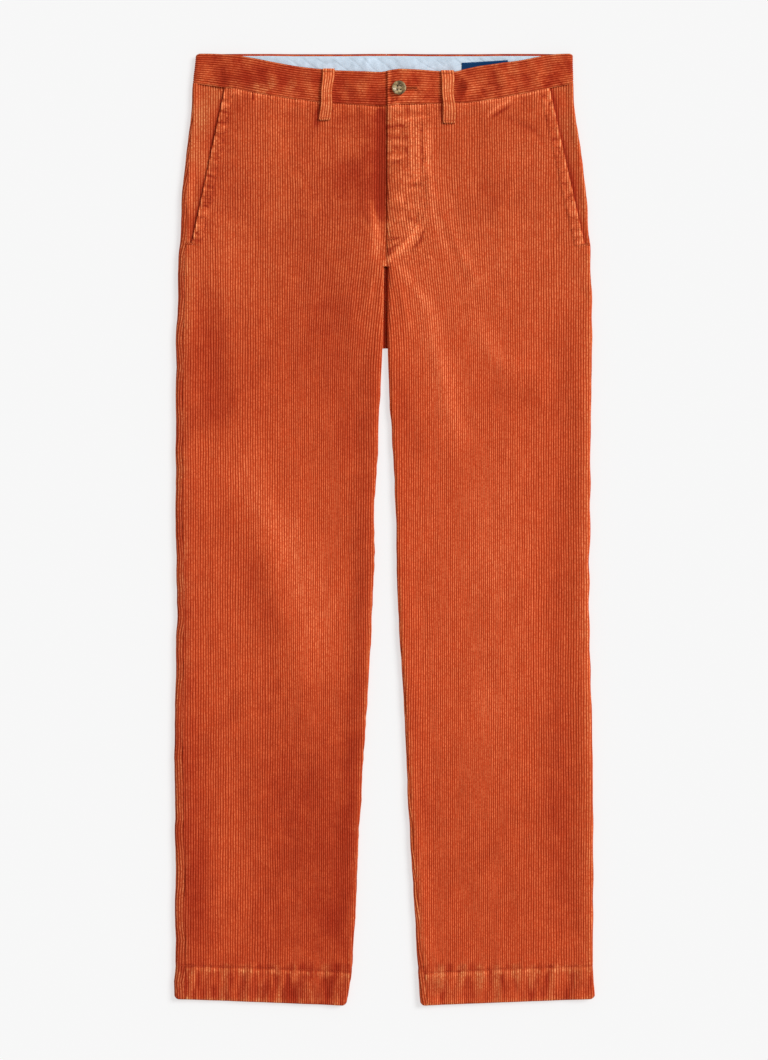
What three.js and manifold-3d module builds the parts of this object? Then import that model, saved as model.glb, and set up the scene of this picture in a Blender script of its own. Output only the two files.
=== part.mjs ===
// Corduroy trousers lying flat on their back, in millimetres. +Z is up from the surface they lie on,
// +Y runs from the hems to the waist, and +X is the right side as seen from above. The origin is on
// that surface, under the middle of the garment. Left and right are as seen from above.
import * as THREE from "three";
import Module from "manifold-3d";

const wasm = await Module();
wasm.setup();

// Cloth
const seamGap = 0.3; // between pieces that are sewn together or lie on each other
const clothThickness = 1.5; // corduroy without its ribs
const hemThickness = 2.7; // two plies of it
const ribPitch = 2.8;
const ribHeight = 0.7;
const edgeRibs = 3; // this many follow each edge of a panel
const bandThickness = 2.6; // waistband, two plies and interlining
const liningThickness = 0.7;
const labelThickness = 0.5;
const loopThickness = 1.6;

// Overall
const waistY = 536; // top edge of the waistband at the back
const bandHeight = 41;
const centreX = 1.8; // centre seams, front and back
const garmentReach = 238; // no edge is further from the middle
const edgeFade = 26; // over which the rounded side edge sinks to the middle of the panel

// Side edges of the garment, from the waist down
const sideRows = [
  { y: 536, left: -212, right: 212 },
  { y: 500, left: -216, right: 212.5 },
  { y: 472, left: -217, right: 214 },
  { y: 427, left: -222.5, right: 221 },
  { y: 371, left: -228, right: 227.5 },
  { y: 315, left: -231, right: 231.5 },
  { y: 225, left: -234, right: 233.5 },
  { y: 33, left: -235, right: 231.5 },
  { y: -80, left: -233.5, right: 230.5 },
  { y: -250, left: -236, right: 234 },
  { y: -400, left: -235, right: 235 },
  { y: -480, left: -235.5, right: 234.5 },
  { y: -530, left: -236.5, right: 236.5 },
];
// Inner edges of the two legs, from the front crotch down
const inseamRows = [
  { y: 296, left: -1, right: 4.5 },
  { y: 205, left: -2.8, right: 4 },
  { y: 146, left: -5.6, right: 6.5 },
  { y: 33, left: -11, right: 12.4 },
  { y: -80, left: -13.5, right: 15.5 },
  { y: -192, left: -19.7, right: 22 },
  { y: -305, left: -27, right: 27 },
  { y: -417, left: -32.7, right: 33.2 },
  { y: -485, left: -36, right: 37.2 },
  { y: -536, left: -43, right: 41 },
];
// How far each seam lies up and over the side fold, measured on the cloth from the outermost line
const wrapRows = [
  { y: 500, leftOuter: 3, leftInner: -1.2, rightOuter: 2, rightInner: -1.2 },
  { y: 427, leftOuter: 5, leftInner: -1.2, rightOuter: 2, rightInner: -1.2 },
  { y: 315, leftOuter: 9, leftInner: -1.2, rightOuter: 2, rightInner: -1.2 },
  { y: 200, leftOuter: 9.5, leftInner: -1.2, rightOuter: 2, rightInner: -1.2 },
  { y: 33, leftOuter: 9.5, leftInner: 0, rightOuter: 2, rightInner: 1 },
  { y: -250, leftOuter: 11, leftInner: 2, rightOuter: 2.5, rightInner: 4 },
  { y: -485, leftOuter: 13, leftInner: 3, rightOuter: 3, rightInner: 8 },
  { y: -536, leftOuter: 14, leftInner: 3, rightOuter: 3, rightInner: 11 },
];
// Height of the middle of the front above the surface, and the radius of the side folds
const levelRows = [
  { y: 500, middle: 6.8, radius: 3.7 },
  { y: 427, middle: 6.8, radius: 3.75 },
  { y: 315, middle: 6.6, radius: 3.75 },
  { y: 250, middle: 5.9, radius: 3.75 },
  { y: 146, middle: 4.7, radius: 3.75 },
  { y: -80, middle: 4.4, radius: 3.75 },
  { y: -400, middle: 4.4, radius: 3.75 },
  { y: -485, middle: 5.9, radius: 3.75 },
  { y: -536, middle: 6.2, radius: 3.7 },
];
// Rows of points down a panel: the height at the side edge, and how much of the waist seam's sag and
// of the hem's slope each one follows
const panelRows = [
  { y: null, sag: 1, slope: 0 },
  { y: 472, sag: 0.8, slope: 0 },
  { y: 371, sag: 0.1, slope: 0 },
  { y: 319, sag: 0, slope: 0 },
  { y: 301, sag: 0, slope: 0 },
  { y: 291, sag: 0, slope: 0 },
  { y: 208, sag: 0, slope: 0 },
  { y: 200, sag: 0, slope: 0 },
  { y: 40, sag: 0, slope: 0 },
  { y: -200, sag: 0, slope: 0 },
  { y: -484, sag: 0, slope: 0.85 },
  { y: -487, sag: 0, slope: 0.85 },
  { y: -529, sag: 0, slope: 1 },
];
const hemDrop = 7.5; // the inner corner of each hem lies this much lower than the outer one
const hemTopY = -485.5;
const frontCrotchY = 296;
const backCrotchY = 204;
// Broad soft ridges pressed into the front: the middle of each, its size and how far it leans from
// upright, clockwise
const softRidges = [
  { x: -118, y: 60, length: 330, width: 46, height: 1.6, lean: -4 },
  { x: -86, y: -230, length: 300, width: 40, height: 1.3, lean: -2 },
  { x: -196, y: -60, length: 330, width: 22, height: 1.0, lean: 0 },
  { x: 62, y: 90, length: 260, width: 42, height: 1.6, lean: 5 },
  { x: 150, y: -60, length: 360, width: 48, height: 1.4, lean: 2 },
  { x: 104, y: -330, length: 240, width: 42, height: 1.1, lean: -3 },
  { x: -96, y: 380, length: 150, width: 54, height: 1.2, lean: 6 },
  { x: 112, y: 380, length: 150, width: 54, height: 1.2, lean: -8 },
];

// Waistband: how far its front edges sag below the straight back edge, by distance right of the centre
const frontSagRows = [
  { x: -216, top: 0, bottom: 33.5 },
  { x: -196, top: 0.2, bottom: 36.2 },
  { x: -170, top: 2.2, bottom: 40.2 },
  { x: -150, top: 5.2, bottom: 43.9 },
  { x: -130, top: 9.1, bottom: 47.5 },
  { x: -104, top: 13.7, bottom: 51.2 },
  { x: -86, top: 16, bottom: 53.5 },
  { x: -60, top: 18.5, bottom: 56.1 },
  { x: -46, top: 19.2, bottom: 57 },
  { x: -20, top: 20.3, bottom: 58.6 },
  { x: -7, top: 20.8, bottom: 59 },
  { x: 0, top: 19.8, bottom: 58.8 },
  { x: 14, top: 17.6, bottom: 57.6 },
  { x: 20, top: 17.7, bottom: 57.4 },
  { x: 36, top: 18.2, bottom: 57 },
  { x: 46, top: 18.8, bottom: 56.7 },
  { x: 60, top: 19.6, bottom: 56.4 },
  { x: 78, top: 20, bottom: 55.7 },
  { x: 88, top: 17.6, bottom: 55.4 },
  { x: 104, top: 14.1, bottom: 54.2 },
  { x: 118, top: 12.3, bottom: 52 },
  { x: 130, top: 10.6, bottom: 50 },
  { x: 150, top: 8, bottom: 46.2 },
  { x: 170, top: 4.1, bottom: 42.2 },
  { x: 183, top: 1.6, bottom: 39.3 },
  { x: 196, top: 0.3, bottom: 36.5 },
  { x: 214, top: 0, bottom: 33.5 },
];
const backSeam = { centre: 42, side: 33.5, sideX: 216 }; // its depth below the top edge behind
const bandRadius = 3.65; // of its side folds
const bandLap = 36; // of the two ends at the button

// Fly
const flyLap = 8; // of the two fronts
const flyEndY = 319;
const flyWidth = 37;
const flyDip = 2;
const flyRise = 1.4;

// Front pockets, cut on a slant from the waist to the side seam
const pockets = [
  { side: "left", topX: -180, bottomX: -217.5, bottomY: 321 },
  { side: "right", topX: 186, bottomX: 225.5, bottomY: 320 },
];
const pocketTopY = 496;
const facingUnder = 22; // of the facing beneath the front

// Belt loops and the things at the waist
const loopWidth = 12.6; // behind
const frontLoops = [
  { name: "belt_loop_front_left", x: -63, lean: -4, width: 13.2, tail: 20 },
  { name: "belt_loop_front_right", x: 70.5, lean: 3, width: 14.2, tail: 23 },
];
const backLoops = [
  { name: "belt_loop_back_left", x: centreX - 150 },
  { name: "belt_loop_back_centre", x: centreX },
  { name: "belt_loop_back_right", x: centreX + 150 },
];
const backLoopLength = 54;
const loopBed = { flat: 20, ramp: 26 }; // what lies on a back loop stays level and then slopes off
const button = { x: 16.3, y: 496.4, radius: 8, thickness: 3.2, holeRadius: 0.9, holeAt: 1.7 };
const buttonhole = { length: 20, width: 1.4, eyeRadius: 1.9 };
const shankRadius = 1.5;
const label = { x: 113, top: 10, width: 52, height: 22 };

// Colours, as linear shades of the cloth and trims
const finishes = {
  corduroy: { color: "#bf5127", roughness: 0.92, metalness: 0 },
  lining: { color: "#b9cbe0", roughness: 0.85, metalness: 0 },
  label: { color: "#163c6b", roughness: 0.8, metalness: 0 },
  button: { color: "#8f7d5c", roughness: 0.35, metalness: 0 },
  thread: { color: "#c9a26f", roughness: 0.8, metalness: 0 },
};

const clamp = (value, low, high) => Math.min(high, Math.max(low, value));
const smooth = (value) => {
  const s = clamp(value, 0, 1);
  return s * s * (3 - 2 * s);
};
// 1 within the plateau, falling smoothly to 0 over the ramp beyond it
const plateau = (distance, flat, ramp) => 1 - smooth((Math.abs(distance) - flat) / ramp);

// A column of a table at a place along its key, on a smooth curve through the rows
function along(rows, key, at, column) {
  const sign = rows[1][key] > rows[0][key] ? 1 : -1;
  const last = rows.length - 1;
  if ((at - rows[0][key]) * sign <= 0) return rows[0][column];
  if ((at - rows[last][key]) * sign >= 0) return rows[last][column];
  const i = rows.findIndex((row, k) => k > 0 && (at - row[key]) * sign <= 0);
  const slope = (a, b) => (rows[b][column] - rows[a][column]) / (rows[b][key] - rows[a][key]);
  const step = rows[i][key] - rows[i - 1][key];
  const before = slope(Math.max(0, i - 2), i);
  const after = slope(i - 1, Math.min(last, i + 1));
  const s = (at - rows[i - 1][key]) / step;
  const start = (1 + 2 * s) * (1 - s) ** 2 * rows[i - 1][column] + s * (1 - s) ** 2 * step * before;
  return start + s * s * (3 - 2 * s) * rows[i][column] + s * s * (s - 1) * step * after;
}

// The same on straight lines between the rows
function between(rows, key, at, column) {
  const next = rows.find((row) => row[key] >= at) ?? rows.at(-1);
  const last = rows.findLast((row) => row[key] <= at) ?? rows[0];
  if (next === last) return next[column];
  return THREE.MathUtils.mapLinear(at, last[key], next[key], last[column], next[column]);
}

const frontSag = (x, edge) => between(frontSagRows, "x", x - centreX, edge);
const backSag = (x) =>
  THREE.MathUtils.mapLinear(Math.abs(x - centreX), 0, backSeam.sideX, backSeam.centre, backSeam.side);

// How far the loops behind the waist lift everything that lies on them
function bed(x, y) {
  const straight = (distance, flat, ramp) => clamp(1 - (Math.abs(distance) - flat) / ramp, 0, 1);
  const reach = straight(waistY - y, backLoopLength + 12, 90);
  const lift = backLoops.map((loop) => straight(x - loop.x, loopBed.flat, loopBed.ramp));
  return (loopThickness + seamGap) * reach * Math.max(...lift);
}

const bedCorners = backLoops.flatMap(({ x }) => {
  const { flat, ramp } = loopBed;
  return [x - flat - ramp, x - flat, x + flat, x + flat + ramp];
});

function ridges(x, y) {
  return softRidges.reduce((sum, ridge) => {
    const turn = THREE.MathUtils.degToRad(ridge.lean);
    const across = (x - ridge.x) * Math.cos(turn) - (y - ridge.y) * Math.sin(turn);
    const down = (x - ridge.x) * Math.sin(turn) + (y - ridge.y) * Math.cos(turn);
    const near = (across / ridge.width) ** 2 + (down / (ridge.length / 2)) ** 2;
    return sum + ridge.height * Math.exp(-near * 1.6);
  }, 0);
}

// A flattened tube of cloth seen end on. t is the length along its outer face, from the outermost line
// over the top to the innermost line and back underneath. It gives the distance in from the outer
// edge, the height, and the way out of the cloth.
function tube(width, radius, topAt) {
  const quarter = (Math.PI * radius) / 2;
  const flat = width - 2 * radius;
  const half = 2 * quarter + flat;
  const arc = (centre, way, turn) => ({
    a: centre + way * radius * Math.cos(turn),
    z: radius + radius * Math.sin(turn),
    out: [way * Math.cos(turn), Math.sin(turn)],
  });
  const at = (length) => {
    const t = ((length % (2 * half)) + 2 * half) % (2 * half);
    if (t < quarter) return arc(radius, -1, t / radius);
    if (t < quarter + flat) {
      const a = radius + t - quarter;
      return { a, z: topAt(a), out: [0, 1] };
    }
    if (t < half + quarter) return arc(width - radius, 1, (half - t) / radius);
    if (t < half + quarter + flat)
      return { a: width - radius - (t - half - quarter), z: 0, out: [0, -1] };
    return arc(radius, -1, (t - 2 * half) / radius);
  };
  return { at, half, quarter, radius, fromInset: (a) => a + quarter - radius };
}

// A closed geometry from triangles of points. Points at one place are shared, and triangles that
// have no area are left out.
function closedGeometry(triangles) {
  const places = new Map();
  const positions = [];
  const index = [];
  const numberOf = (point) => {
    const key = point.map((value) => Math.round(value * 1e4)).join();
    if (!places.has(key)) {
      places.set(key, places.size);
      positions.push(...point);
    }
    return places.get(key);
  };
  for (const triangle of triangles) {
    const [a, b, c] = triangle.map(numberOf);
    if (a !== b && b !== c && c !== a) index.push(a, b, c);
  }
  let volume = 0;
  const corner = (i) => new THREE.Vector3().fromArray(positions, 3 * i);
  for (let i = 0; i < index.length; i += 3) {
    const [a, b, c] = [corner(index[i]), corner(index[i + 1]), corner(index[i + 2])];
    volume += a.dot(b.cross(c));
  }
  if (volume < 0) index.reverse();
  const geometry = new THREE.BufferGeometry();
  geometry.setAttribute("position", new THREE.Float32BufferAttribute(positions, 3));
  geometry.setIndex(index);
  return geometry;
}

// Triangles between two lines of points that run side by side, each point given with its place t
function strip(first, second) {
  const triangles = [];
  let i = 0;
  let k = 0;
  while (i < first.length - 1 || k < second.length - 1) {
    const nextFirst = i < first.length - 1 ? first[i + 1].t : Infinity;
    const nextSecond = k < second.length - 1 ? second[k + 1].t : Infinity;
    if (nextFirst <= nextSecond) {
      triangles.push([first[i].point, first[i + 1].point, second[k].point]);
      i += 1;
    } else {
      triangles.push([second[k + 1].point, second[k].point, first[i].point]);
      k += 1;
    }
  }
  return triangles;
}

// A wall of cloth from rows of points. Each row has its outer points, ribs and all, and fewer inner
// ones on the plain back of the cloth, each as { t, point }.
function wall(rows) {
  const triangles = [];
  const quad = (a, b, c, d) => triangles.push([a, b, c], [a, c, d]);
  for (let j = 0; j < rows.length - 1; j += 1) {
    const [here, next] = [rows[j], rows[j + 1]];
    const p = (row, face, i) => row[face].at(i).point;
    for (let i = 0; i < here.outer.length - 1; i += 1)
      quad(p(here, "outer", i), p(next, "outer", i), p(next, "outer", i + 1), p(here, "outer", i + 1));
    for (let i = 0; i < here.inner.length - 1; i += 1)
      quad(p(here, "inner", i), p(here, "inner", i + 1), p(next, "inner", i + 1), p(next, "inner", i));
    quad(p(here, "outer", 0), p(here, "inner", 0), p(next, "inner", 0), p(next, "outer", 0));
    quad(p(here, "outer", -1), p(next, "outer", -1), p(next, "inner", -1), p(here, "inner", -1));
  }
  triangles.push(...strip(rows[0].outer, rows[0].inner));
  const end = strip(rows.at(-1).outer, rows.at(-1).inner);
  triangles.push(...end.map(([a, b, c]) => [b, a, c]));
  return closedGeometry(triangles);
}

// Places of the plain points of a row: close together over the folded ends, wide apart between
function plainPlaces(from, to, count, ends = [2, 4.2, 7, 12]) {
  const inside = to - from - 2 * ends.at(-1);
  const step = (i) => from + ends.at(-1) + (inside * (i + 1)) / count;
  const middle = Array.from({ length: count - 1 }, (_, i) => step(i));
  return [from, ...ends.map((d) => from + d), ...middle, ...ends.map((d) => to - d).reverse(), to];
}

// Places of the ribbed points of a row: a rib's foot and its crest by turns, on upright lines. The few
// nearest to each edge follow that edge, and an upright rib that runs into them ends there.
function ribPlaces(from, to, first, count) {
  const half = ribPitch / 2;
  const low = from + edgeRibs * ribPitch;
  const high = to - edgeRibs * ribPitch;
  return Array.from({ length: count }, (_, i) => {
    const left = count - 1 - i;
    if (i <= 2 * edgeRibs) return { t: from + i * half, crest: i % 2 === 1 };
    if (left <= 2 * edgeRibs) return { t: to - left * half, crest: left % 2 === 1 };
    const t = first + i * half;
    const off = t < low + half * 0.4 || t > high - half * 0.4;
    return { t: off ? (t < (low + high) / 2 ? low : high) : t, crest: i % 2 === 1 && !off };
  });
}

const legs = {
  left: { way: 1, outer: "leftOuter", inner: "leftInner" },
  right: { way: -1, outer: "rightOuter", inner: "rightInner" },
};
const sideX = (side, y) => along(sideRows, "y", y, side);
const inseamX = (side, y) => along(inseamRows, "y", y, side);
const level = (y, column) => along(levelRows, "y", y, column);
const thicknessAt = (y) => (y < hemTopY ? hemThickness : clothThickness);

// What one leg's cloth is at one row: its tube, where its points lie, and where its seams are
function sectionAt(side, row, seamSag, closed) {
  const { way, outer, inner } = legs[side];
  const edgeY = waistY - seamSag(sideX(side, 500)) - seamGap;
  const nominal = row.y ?? edgeY;
  const outerX = sideX(side, nominal);
  const innerX = closed ? inseamX(side, nominal - row.slope * hemDrop) : centreX + way * 40;
  const width = Math.abs(innerX - outerX);
  const radius = level(nominal, "radius");
  const middle = level(nominal, "middle");
  const rowY = (x) => {
    const sagged = row.sag * (waistY - seamSag(x) - seamGap - edgeY);
    return nominal + sagged - (row.slope * hemDrop * Math.abs(x - outerX)) / width;
  };
  const topAt = (a) => {
    const x = outerX + way * a;
    const inFromEdge = smooth((a - radius) / edgeFade);
    const fromInner = closed ? smooth((width - radius - a) / edgeFade) : 1;
    const sunk = middle - 2 * radius + ridges(x, nominal) * (row.slope > 0.8 ? 0.4 : 1);
    return 2 * radius + sunk * inFromEdge * fromInner;
  };
  const shape = tube(width, radius, topAt);
  const seam = (column) => along(wrapRows, "y", nominal, column);
  return {
    shape,
    outerX,
    width,
    way,
    nominal,
    outerSeam: seam(outer),
    innerSeam: shape.half - seam(inner),
    insetOf: (x) => (x - outerX) * way,
    // The point at t, moved out of the cloth by a distance
    place(t, out) {
      const p = shape.at(t);
      const x = outerX + way * (p.a + p.out[0] * out);
      const y = rowY(outerX + way * p.a);
      return [x, y, p.z + p.out[1] * out + bed(x, y)];
    },
  };
}

// The row of points of a ribbed panel between two places, moved up or down by lift at each point
function ribbedRow(section, from, to, columns, lift, thickness) {
  const first = section.shape.fromInset(section.insetOf(-section.way * garmentReach));
  const outer = ribPlaces(from, to, first, columns).map(({ t, crest }) => ({
    t,
    point: raise(section.place(t, crest ? ribHeight : 0), lift(section, t)),
  }));
  const inner = plainPlaces(from, to, 10).map((t) => ({
    t,
    point: raise(section.place(t, -thickness), lift(section, t)),
  }));
  return { outer, inner };
}
const raise = ([x, y, z], by) => [x, y, z + by];

// How the fronts lap at the fly: the left one dips under, and the right one stands up on its facing
function flyLift(side, x, y) {
  const upper = smooth((y - flyEndY + 17) / 16);
  if (side === "left") return -flyDip * smooth((x - centreX + 13) / 11) * upper;
  const rise = 0.5 + (flyRise - 0.5) * smooth((y - 380) / 100);
  return rise * plateau(x - centreX, flyWidth - 3, 6) * upper;
}

function frontPanel(side) {
  const { way } = legs[side];
  const columns = Math.ceil((garmentReach + way * centreX) / (ribPitch / 2)) + 1;
  const rows = panelRows.filter((row) => row.y !== 208).map((row) => {
    const open = row.y === null || row.y > frontCrotchY;
    const section = sectionAt(side, row, (x) => frontSag(x, "bottom"), !open);
    const edge = section.shape.fromInset(section.insetOf(centreX - (way * seamGap) / 2));
    const to = open ? edge : section.innerSeam;
    const lift = (here, t) => {
      const [x, y] = here.place(t, 0);
      return open ? flyLift(side, x, y) : 0;
    };
    const thickness = thicknessAt(section.nominal);
    const points = ribbedRow(section, section.outerSeam, to, columns, lift, thickness);
    if (side === "right") return points;
    const lapped = row.y === null || row.y >= flyEndY;
    const end = lapped ? to + flyLap : to;
    const at = (out) => ({ t: end, point: raise(section.place(end, out), lift(section, end)) });
    return { outer: [...points.outer, at(0)], inner: [...points.inner, at(-thickness)] };
  });
  const front = cut(wall(rows), pocketCutter(pockets.find((pocket) => pocket.side === side), way));
  return side === "left" ? cut(front, belowFly()) : front;
}

// The space right of the centre seam, from the end of the fly down
function belowFly() {
  const height = 30;
  const middle = [centreX - seamGap / 2 + 15, flyEndY - height / 2, 0];
  return new THREE.BoxGeometry(30, height, 40).translate(...middle);
}

// What a pocket's mouth takes away from the front: everything outside the slant, down to its end
function pocketCutter(pocket, way) {
  const slope = (pocket.bottomX - pocket.topX) / (pocket.bottomY - pocketTopY);
  const over = 60;
  const outline = new THREE.Shape([
    new THREE.Vector2(pocket.topX + slope * over, pocketTopY + over),
    new THREE.Vector2(pocket.bottomX, pocket.bottomY),
    new THREE.Vector2(pocket.bottomX - way * over, pocket.bottomY),
    new THREE.Vector2(pocket.bottomX - way * over, pocketTopY + over),
  ]);
  return new THREE.ExtrudeGeometry(outline, { depth: 60, bevelEnabled: false }).translate(0, 0, -20);
}

function pocketFacing(side) {
  const pocket = pockets.find((item) => item.side === side);
  const { way } = legs[side];
  const mouthX = (y) =>
    THREE.MathUtils.mapLinear(y, pocketTopY, pocket.bottomY, pocket.topX, pocket.bottomX);
  const columns = 64;
  const under = -(clothThickness + ribHeight + 2 * seamGap);
  const last = { y: pocket.bottomY + seamGap, sag: 0, slope: 0 };
  const rows = [...panelRows.filter((row) => row.y === null || row.y > pocket.bottomY), last].map((row) => {
    const section = sectionAt(side, row, (x) => frontSag(x, "bottom"), false);
    const placeOf = (x) => section.shape.fromInset(section.insetOf(x));
    const [, mouthY] = section.place(placeOf(mouthX(section.nominal)), 0);
    const mouth = placeOf(mouthX(mouthY));
    const from = section.outerSeam + 0.15;
    const reach = Math.min(10, 0.7 * (mouth - from));
    const lift = (_, t) => under * smooth((t - from) / reach);
    const to = placeOf(mouthX(mouthY) + way * facingUnder);
    return ribbedRow(section, from, to, columns, lift, clothThickness);
  });
  return wall(rows);
}

function backPanel(side) {
  const rows = panelRows.map((row) => {
    const open = row.y === null || row.y > backCrotchY;
    const section = sectionAt(side, row, backSag, !open);
    const round = 2 * section.shape.half;
    const from = open
      ? round - section.shape.fromInset(section.insetOf(centreX - (section.way * seamGap) / 2))
      : section.innerSeam + seamGap;
    const to = round + section.outerSeam - seamGap;
    const thickness = thicknessAt(section.nominal);
    const { at, radius } = section.shape;
    const seen = (t) => at(t).z > radius; // over the edge of the fold, where the ribs show
    const ribbed = Array.from({ length: 10 }, (_, i) => ((i + 1) * ribPitch) / 2);
    const outer = plainPlaces(from, to, 10, [...ribbed, 18]).map((t, i, { length }) => {
      const fromEnd = Math.min(i, length - 1 - i);
      const crest = fromEnd % 2 === 1 && fromEnd < 10 && seen(t);
      return { t, point: section.place(t, crest ? ribHeight : 0) };
    });
    const inner = plainPlaces(from, to, 10, [1.6, 3.4, 5.4, 7.6, 10, 14, 18]);
    return { outer, inner: inner.map((t) => ({ t, point: section.place(t, -thickness) })) };
  });
  return wall(rows);
}

// Height of the waistband's outer face at the front. Its left end lies under its right end.
function bandTop(side, x) {
  const lapped = plateau(x - centreX - bandLap / 2, bandLap / 2 + 1, 24);
  return 2 * bandRadius + (side === "left" ? -0.8 : 2.1) * lapped;
}

function waistband(side) {
  const { way } = legs[side];
  const ribCount = 29;
  const tangentX = sideX(side, 515) + way * bandRadius;
  const inside = (x) => (x - tangentX) * way > 6;
  const column = (x, sagTop, sagBottom, height, out, ribs) => ({ x, sagTop, sagBottom, height, out, ribs });
  const stationXs = (...ends) =>
    frontSagRows
      .map((row) => -way * row.x)
      .filter((d) => d >= ends[0] && d <= ends[1])
      .sort((a, b) => a - b)
      .map((d) => centreX - way * d);
  const frontXs =
    side === "left" ? stationXs(-bandLap, 220) : [centreX + seamGap / 2, ...stationXs(1, 220)];
  const front = frontXs.filter(inside).map((x) => {
    const ribs = side === "left" && x > centreX - 2 ? 0 : 1;
    return column(x, frontSag(x, "top"), frontSag(x, "bottom"), bandTop(side, x), [0, 1], ribs);
  });
  const fold = [90, 55, 20, -15, -50, -90].map((degrees) => {
    const turn = THREE.MathUtils.degToRad(degrees);
    const out = [-way * Math.cos(turn), Math.sin(turn)];
    const x = tangentX + bandRadius * out[0];
    const bottom = degrees > 50 ? frontSag(x, "bottom") : backSag(x);
    return column(x, 0, bottom, bandRadius * (1 + Math.sin(turn)), out, smooth((degrees + 60) / 90));
  });
  const back = [centreX - (way * seamGap) / 2, ...bedCorners.filter((x) => (centreX - x) * way > 1)]
    .filter(inside)
    .sort((a, b) => (a - b) * way)
    .map((x) => column(x, 0, backSag(x), 0, [0, -1], 0));
  const rows = [...front, ...fold, ...back].map((station) => {
    const point = (share, out) => {
      const y = waistY - station.sagTop - share * (station.sagBottom - station.sagTop);
      const lean = sideX(side, y) - sideX(side, 515);
      const atSide = plateau(station.x - tangentX, 8, 60);
      const x = station.x + lean * atSide + station.out[0] * out;
      return [x, y, station.height + station.out[1] * out + bed(x, y)];
    };
    const outer = Array.from({ length: ribCount + 1 }, (_, i) => ({
      t: i / ribCount,
      point: point(i / ribCount, i % 2 === 1 && i < ribCount ? ribHeight * station.ribs : 0),
    }));
    const inner = [0, 0.34, 0.67, 1].map((t) => ({ t, point: point(t, -bandThickness) }));
    return { outer, inner };
  });
  return wall(rows);
}

// A plate of thin cloth lying flat at a height above the bed
function plate({ left, right, top, bottom, height, thickness }) {
  const across = [left, ...bedCorners.filter((x) => x > left + 1 && x < right - 1), right];
  const down = [top, (top + bottom) / 2, bottom];
  const face = (y, z) => across.map((x) => ({ t: x, point: [x, y, z + bed(x, y)] }));
  return wall(down.map((y) => ({ outer: face(y, height + thickness), inner: face(y, height) })));
}

const liningBase = bandThickness + seamGap;
const labelBase = liningBase + liningThickness + seamGap;

function waistLining() {
  const reach = 196;
  return plate({
    left: centreX - reach,
    right: centreX + reach,
    top: waistY - 3,
    bottom: waistY - 32,
    height: liningBase,
    thickness: liningThickness,
  });
}

function plainLabel() {
  return plate({
    left: label.x - label.width / 2,
    right: label.x + label.width / 2,
    top: waistY - label.top,
    bottom: waistY - label.top - label.height,
    height: labelBase,
    thickness: labelThickness,
  });
}

// A front belt loop: a ribbed strap over the waistband, sewn down at both ends
function frontLoop({ x, lean, width, tail }) {
  const side = x < centreX ? "left" : "right";
  const top = waistY - frontSag(x, "top") + 0.8;
  const bottom = waistY - frontSag(x, "bottom") - tail;
  const seam = waistY - frontSag(x, "bottom");
  const onPanel = level(seam, "middle") + ribHeight + ridges(x, seam) + seamGap;
  const onBand = bandTop(side, x) + ribHeight + seamGap;
  const stations = [
    { share: 0, arch: 0, thick: 2.2 },
    { share: 0.06, arch: 0.2, thick: 2.2 },
    { share: 0.08, arch: 0.4, thick: loopThickness },
    { share: 0.35, arch: 1.2, thick: loopThickness },
    { share: 0.65, arch: 1.2, thick: loopThickness },
    { share: 0.86, arch: 0.9, thick: loopThickness },
    { share: 0.88, arch: 0.4, thick: 2.2 },
    { share: 1, arch: 0.1, thick: 2.2 },
  ];
  const ribs = 9;
  const rows = stations.map(({ share, arch, thick }) => {
    const y = THREE.MathUtils.lerp(top, bottom, share);
    const middle = x + lean * share;
    const rest = THREE.MathUtils.lerp(onPanel, onBand, smooth((y - seam + 9) / 9));
    const point = (across, height) => {
      const px = middle + (across - 0.5) * width;
      return [px, y, rest + arch + height + bed(px, y)];
    };
    const crest = (i) => (i % 2 === 1 ? ribHeight * 0.8 : 0);
    const outer = Array.from({ length: ribs + 2 }, (_, i) => ({
      t: i / (ribs + 1),
      point: point(i / (ribs + 1), thick + crest(i)),
    }));
    const inner = [0, 0.5, 1].map((t) => ({ t, point: point(t, 0) }));
    return { outer, inner };
  });
  return wall(rows);
}

// A back belt loop lies flat between the waistband and the surface
function backLoop({ x }) {
  const top = waistY - 0.8;
  const face = (y, z) => [-0.5, 0, 0.5].map((t) => ({ t, point: [x + t * loopWidth, y, z] }));
  const down = [top, top - backLoopLength / 2, top - backLoopLength];
  return wall(down.map((y) => ({ outer: face(y, loopThickness), inner: face(y, 0) })));
}

// Height of the button's underside above the surface, just clear of the waistband's ribs
const buttonZ = bandTop("right", button.x) + ribHeight + seamGap + bed(button.x, button.y);

// A dished round button with four holes, turned about its own axis
function roundButton() {
  const { radius, thickness, holeRadius, holeAt } = button;
  const profile = [
    new THREE.Vector2(0, 0),
    new THREE.Vector2(radius * 0.72, 0),
    new THREE.Vector2(radius, thickness * 0.42),
    new THREE.Vector2(radius, thickness * 0.62),
    new THREE.Vector2(radius * 0.9, thickness),
    new THREE.Vector2(radius * 0.7, thickness * 0.94),
    new THREE.Vector2(radius * 0.5, thickness * 0.62),
    new THREE.Vector2(0, thickness * 0.56),
  ];
  const disc = new THREE.LatheGeometry(profile, 28).rotateX(Math.PI / 2);
  return [-1, 1]
    .flatMap((sx) => [-1, 1].map((sy) => [sx * holeAt, sy * holeAt]))
    .reduce((body, [x, y]) => {
      const drill = new THREE.CylinderGeometry(holeRadius, holeRadius, 3 * thickness, 8);
      return cut(body, drill.rotateX(Math.PI / 2).translate(x, y, 0));
    }, disc)
    .translate(button.x, button.y, buttonZ);
}

// The thread shank between the button and the waistband's under end
function threadShank() {
  const low = bandTop("left", button.x) + bed(button.x, button.y) + seamGap;
  const high = buttonZ - seamGap;
  const shank = new THREE.CylinderGeometry(shankRadius, shankRadius, high - low, 10);
  return shank.rotateX(Math.PI / 2).translate(button.x, button.y, (low + high) / 2);
}

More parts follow.
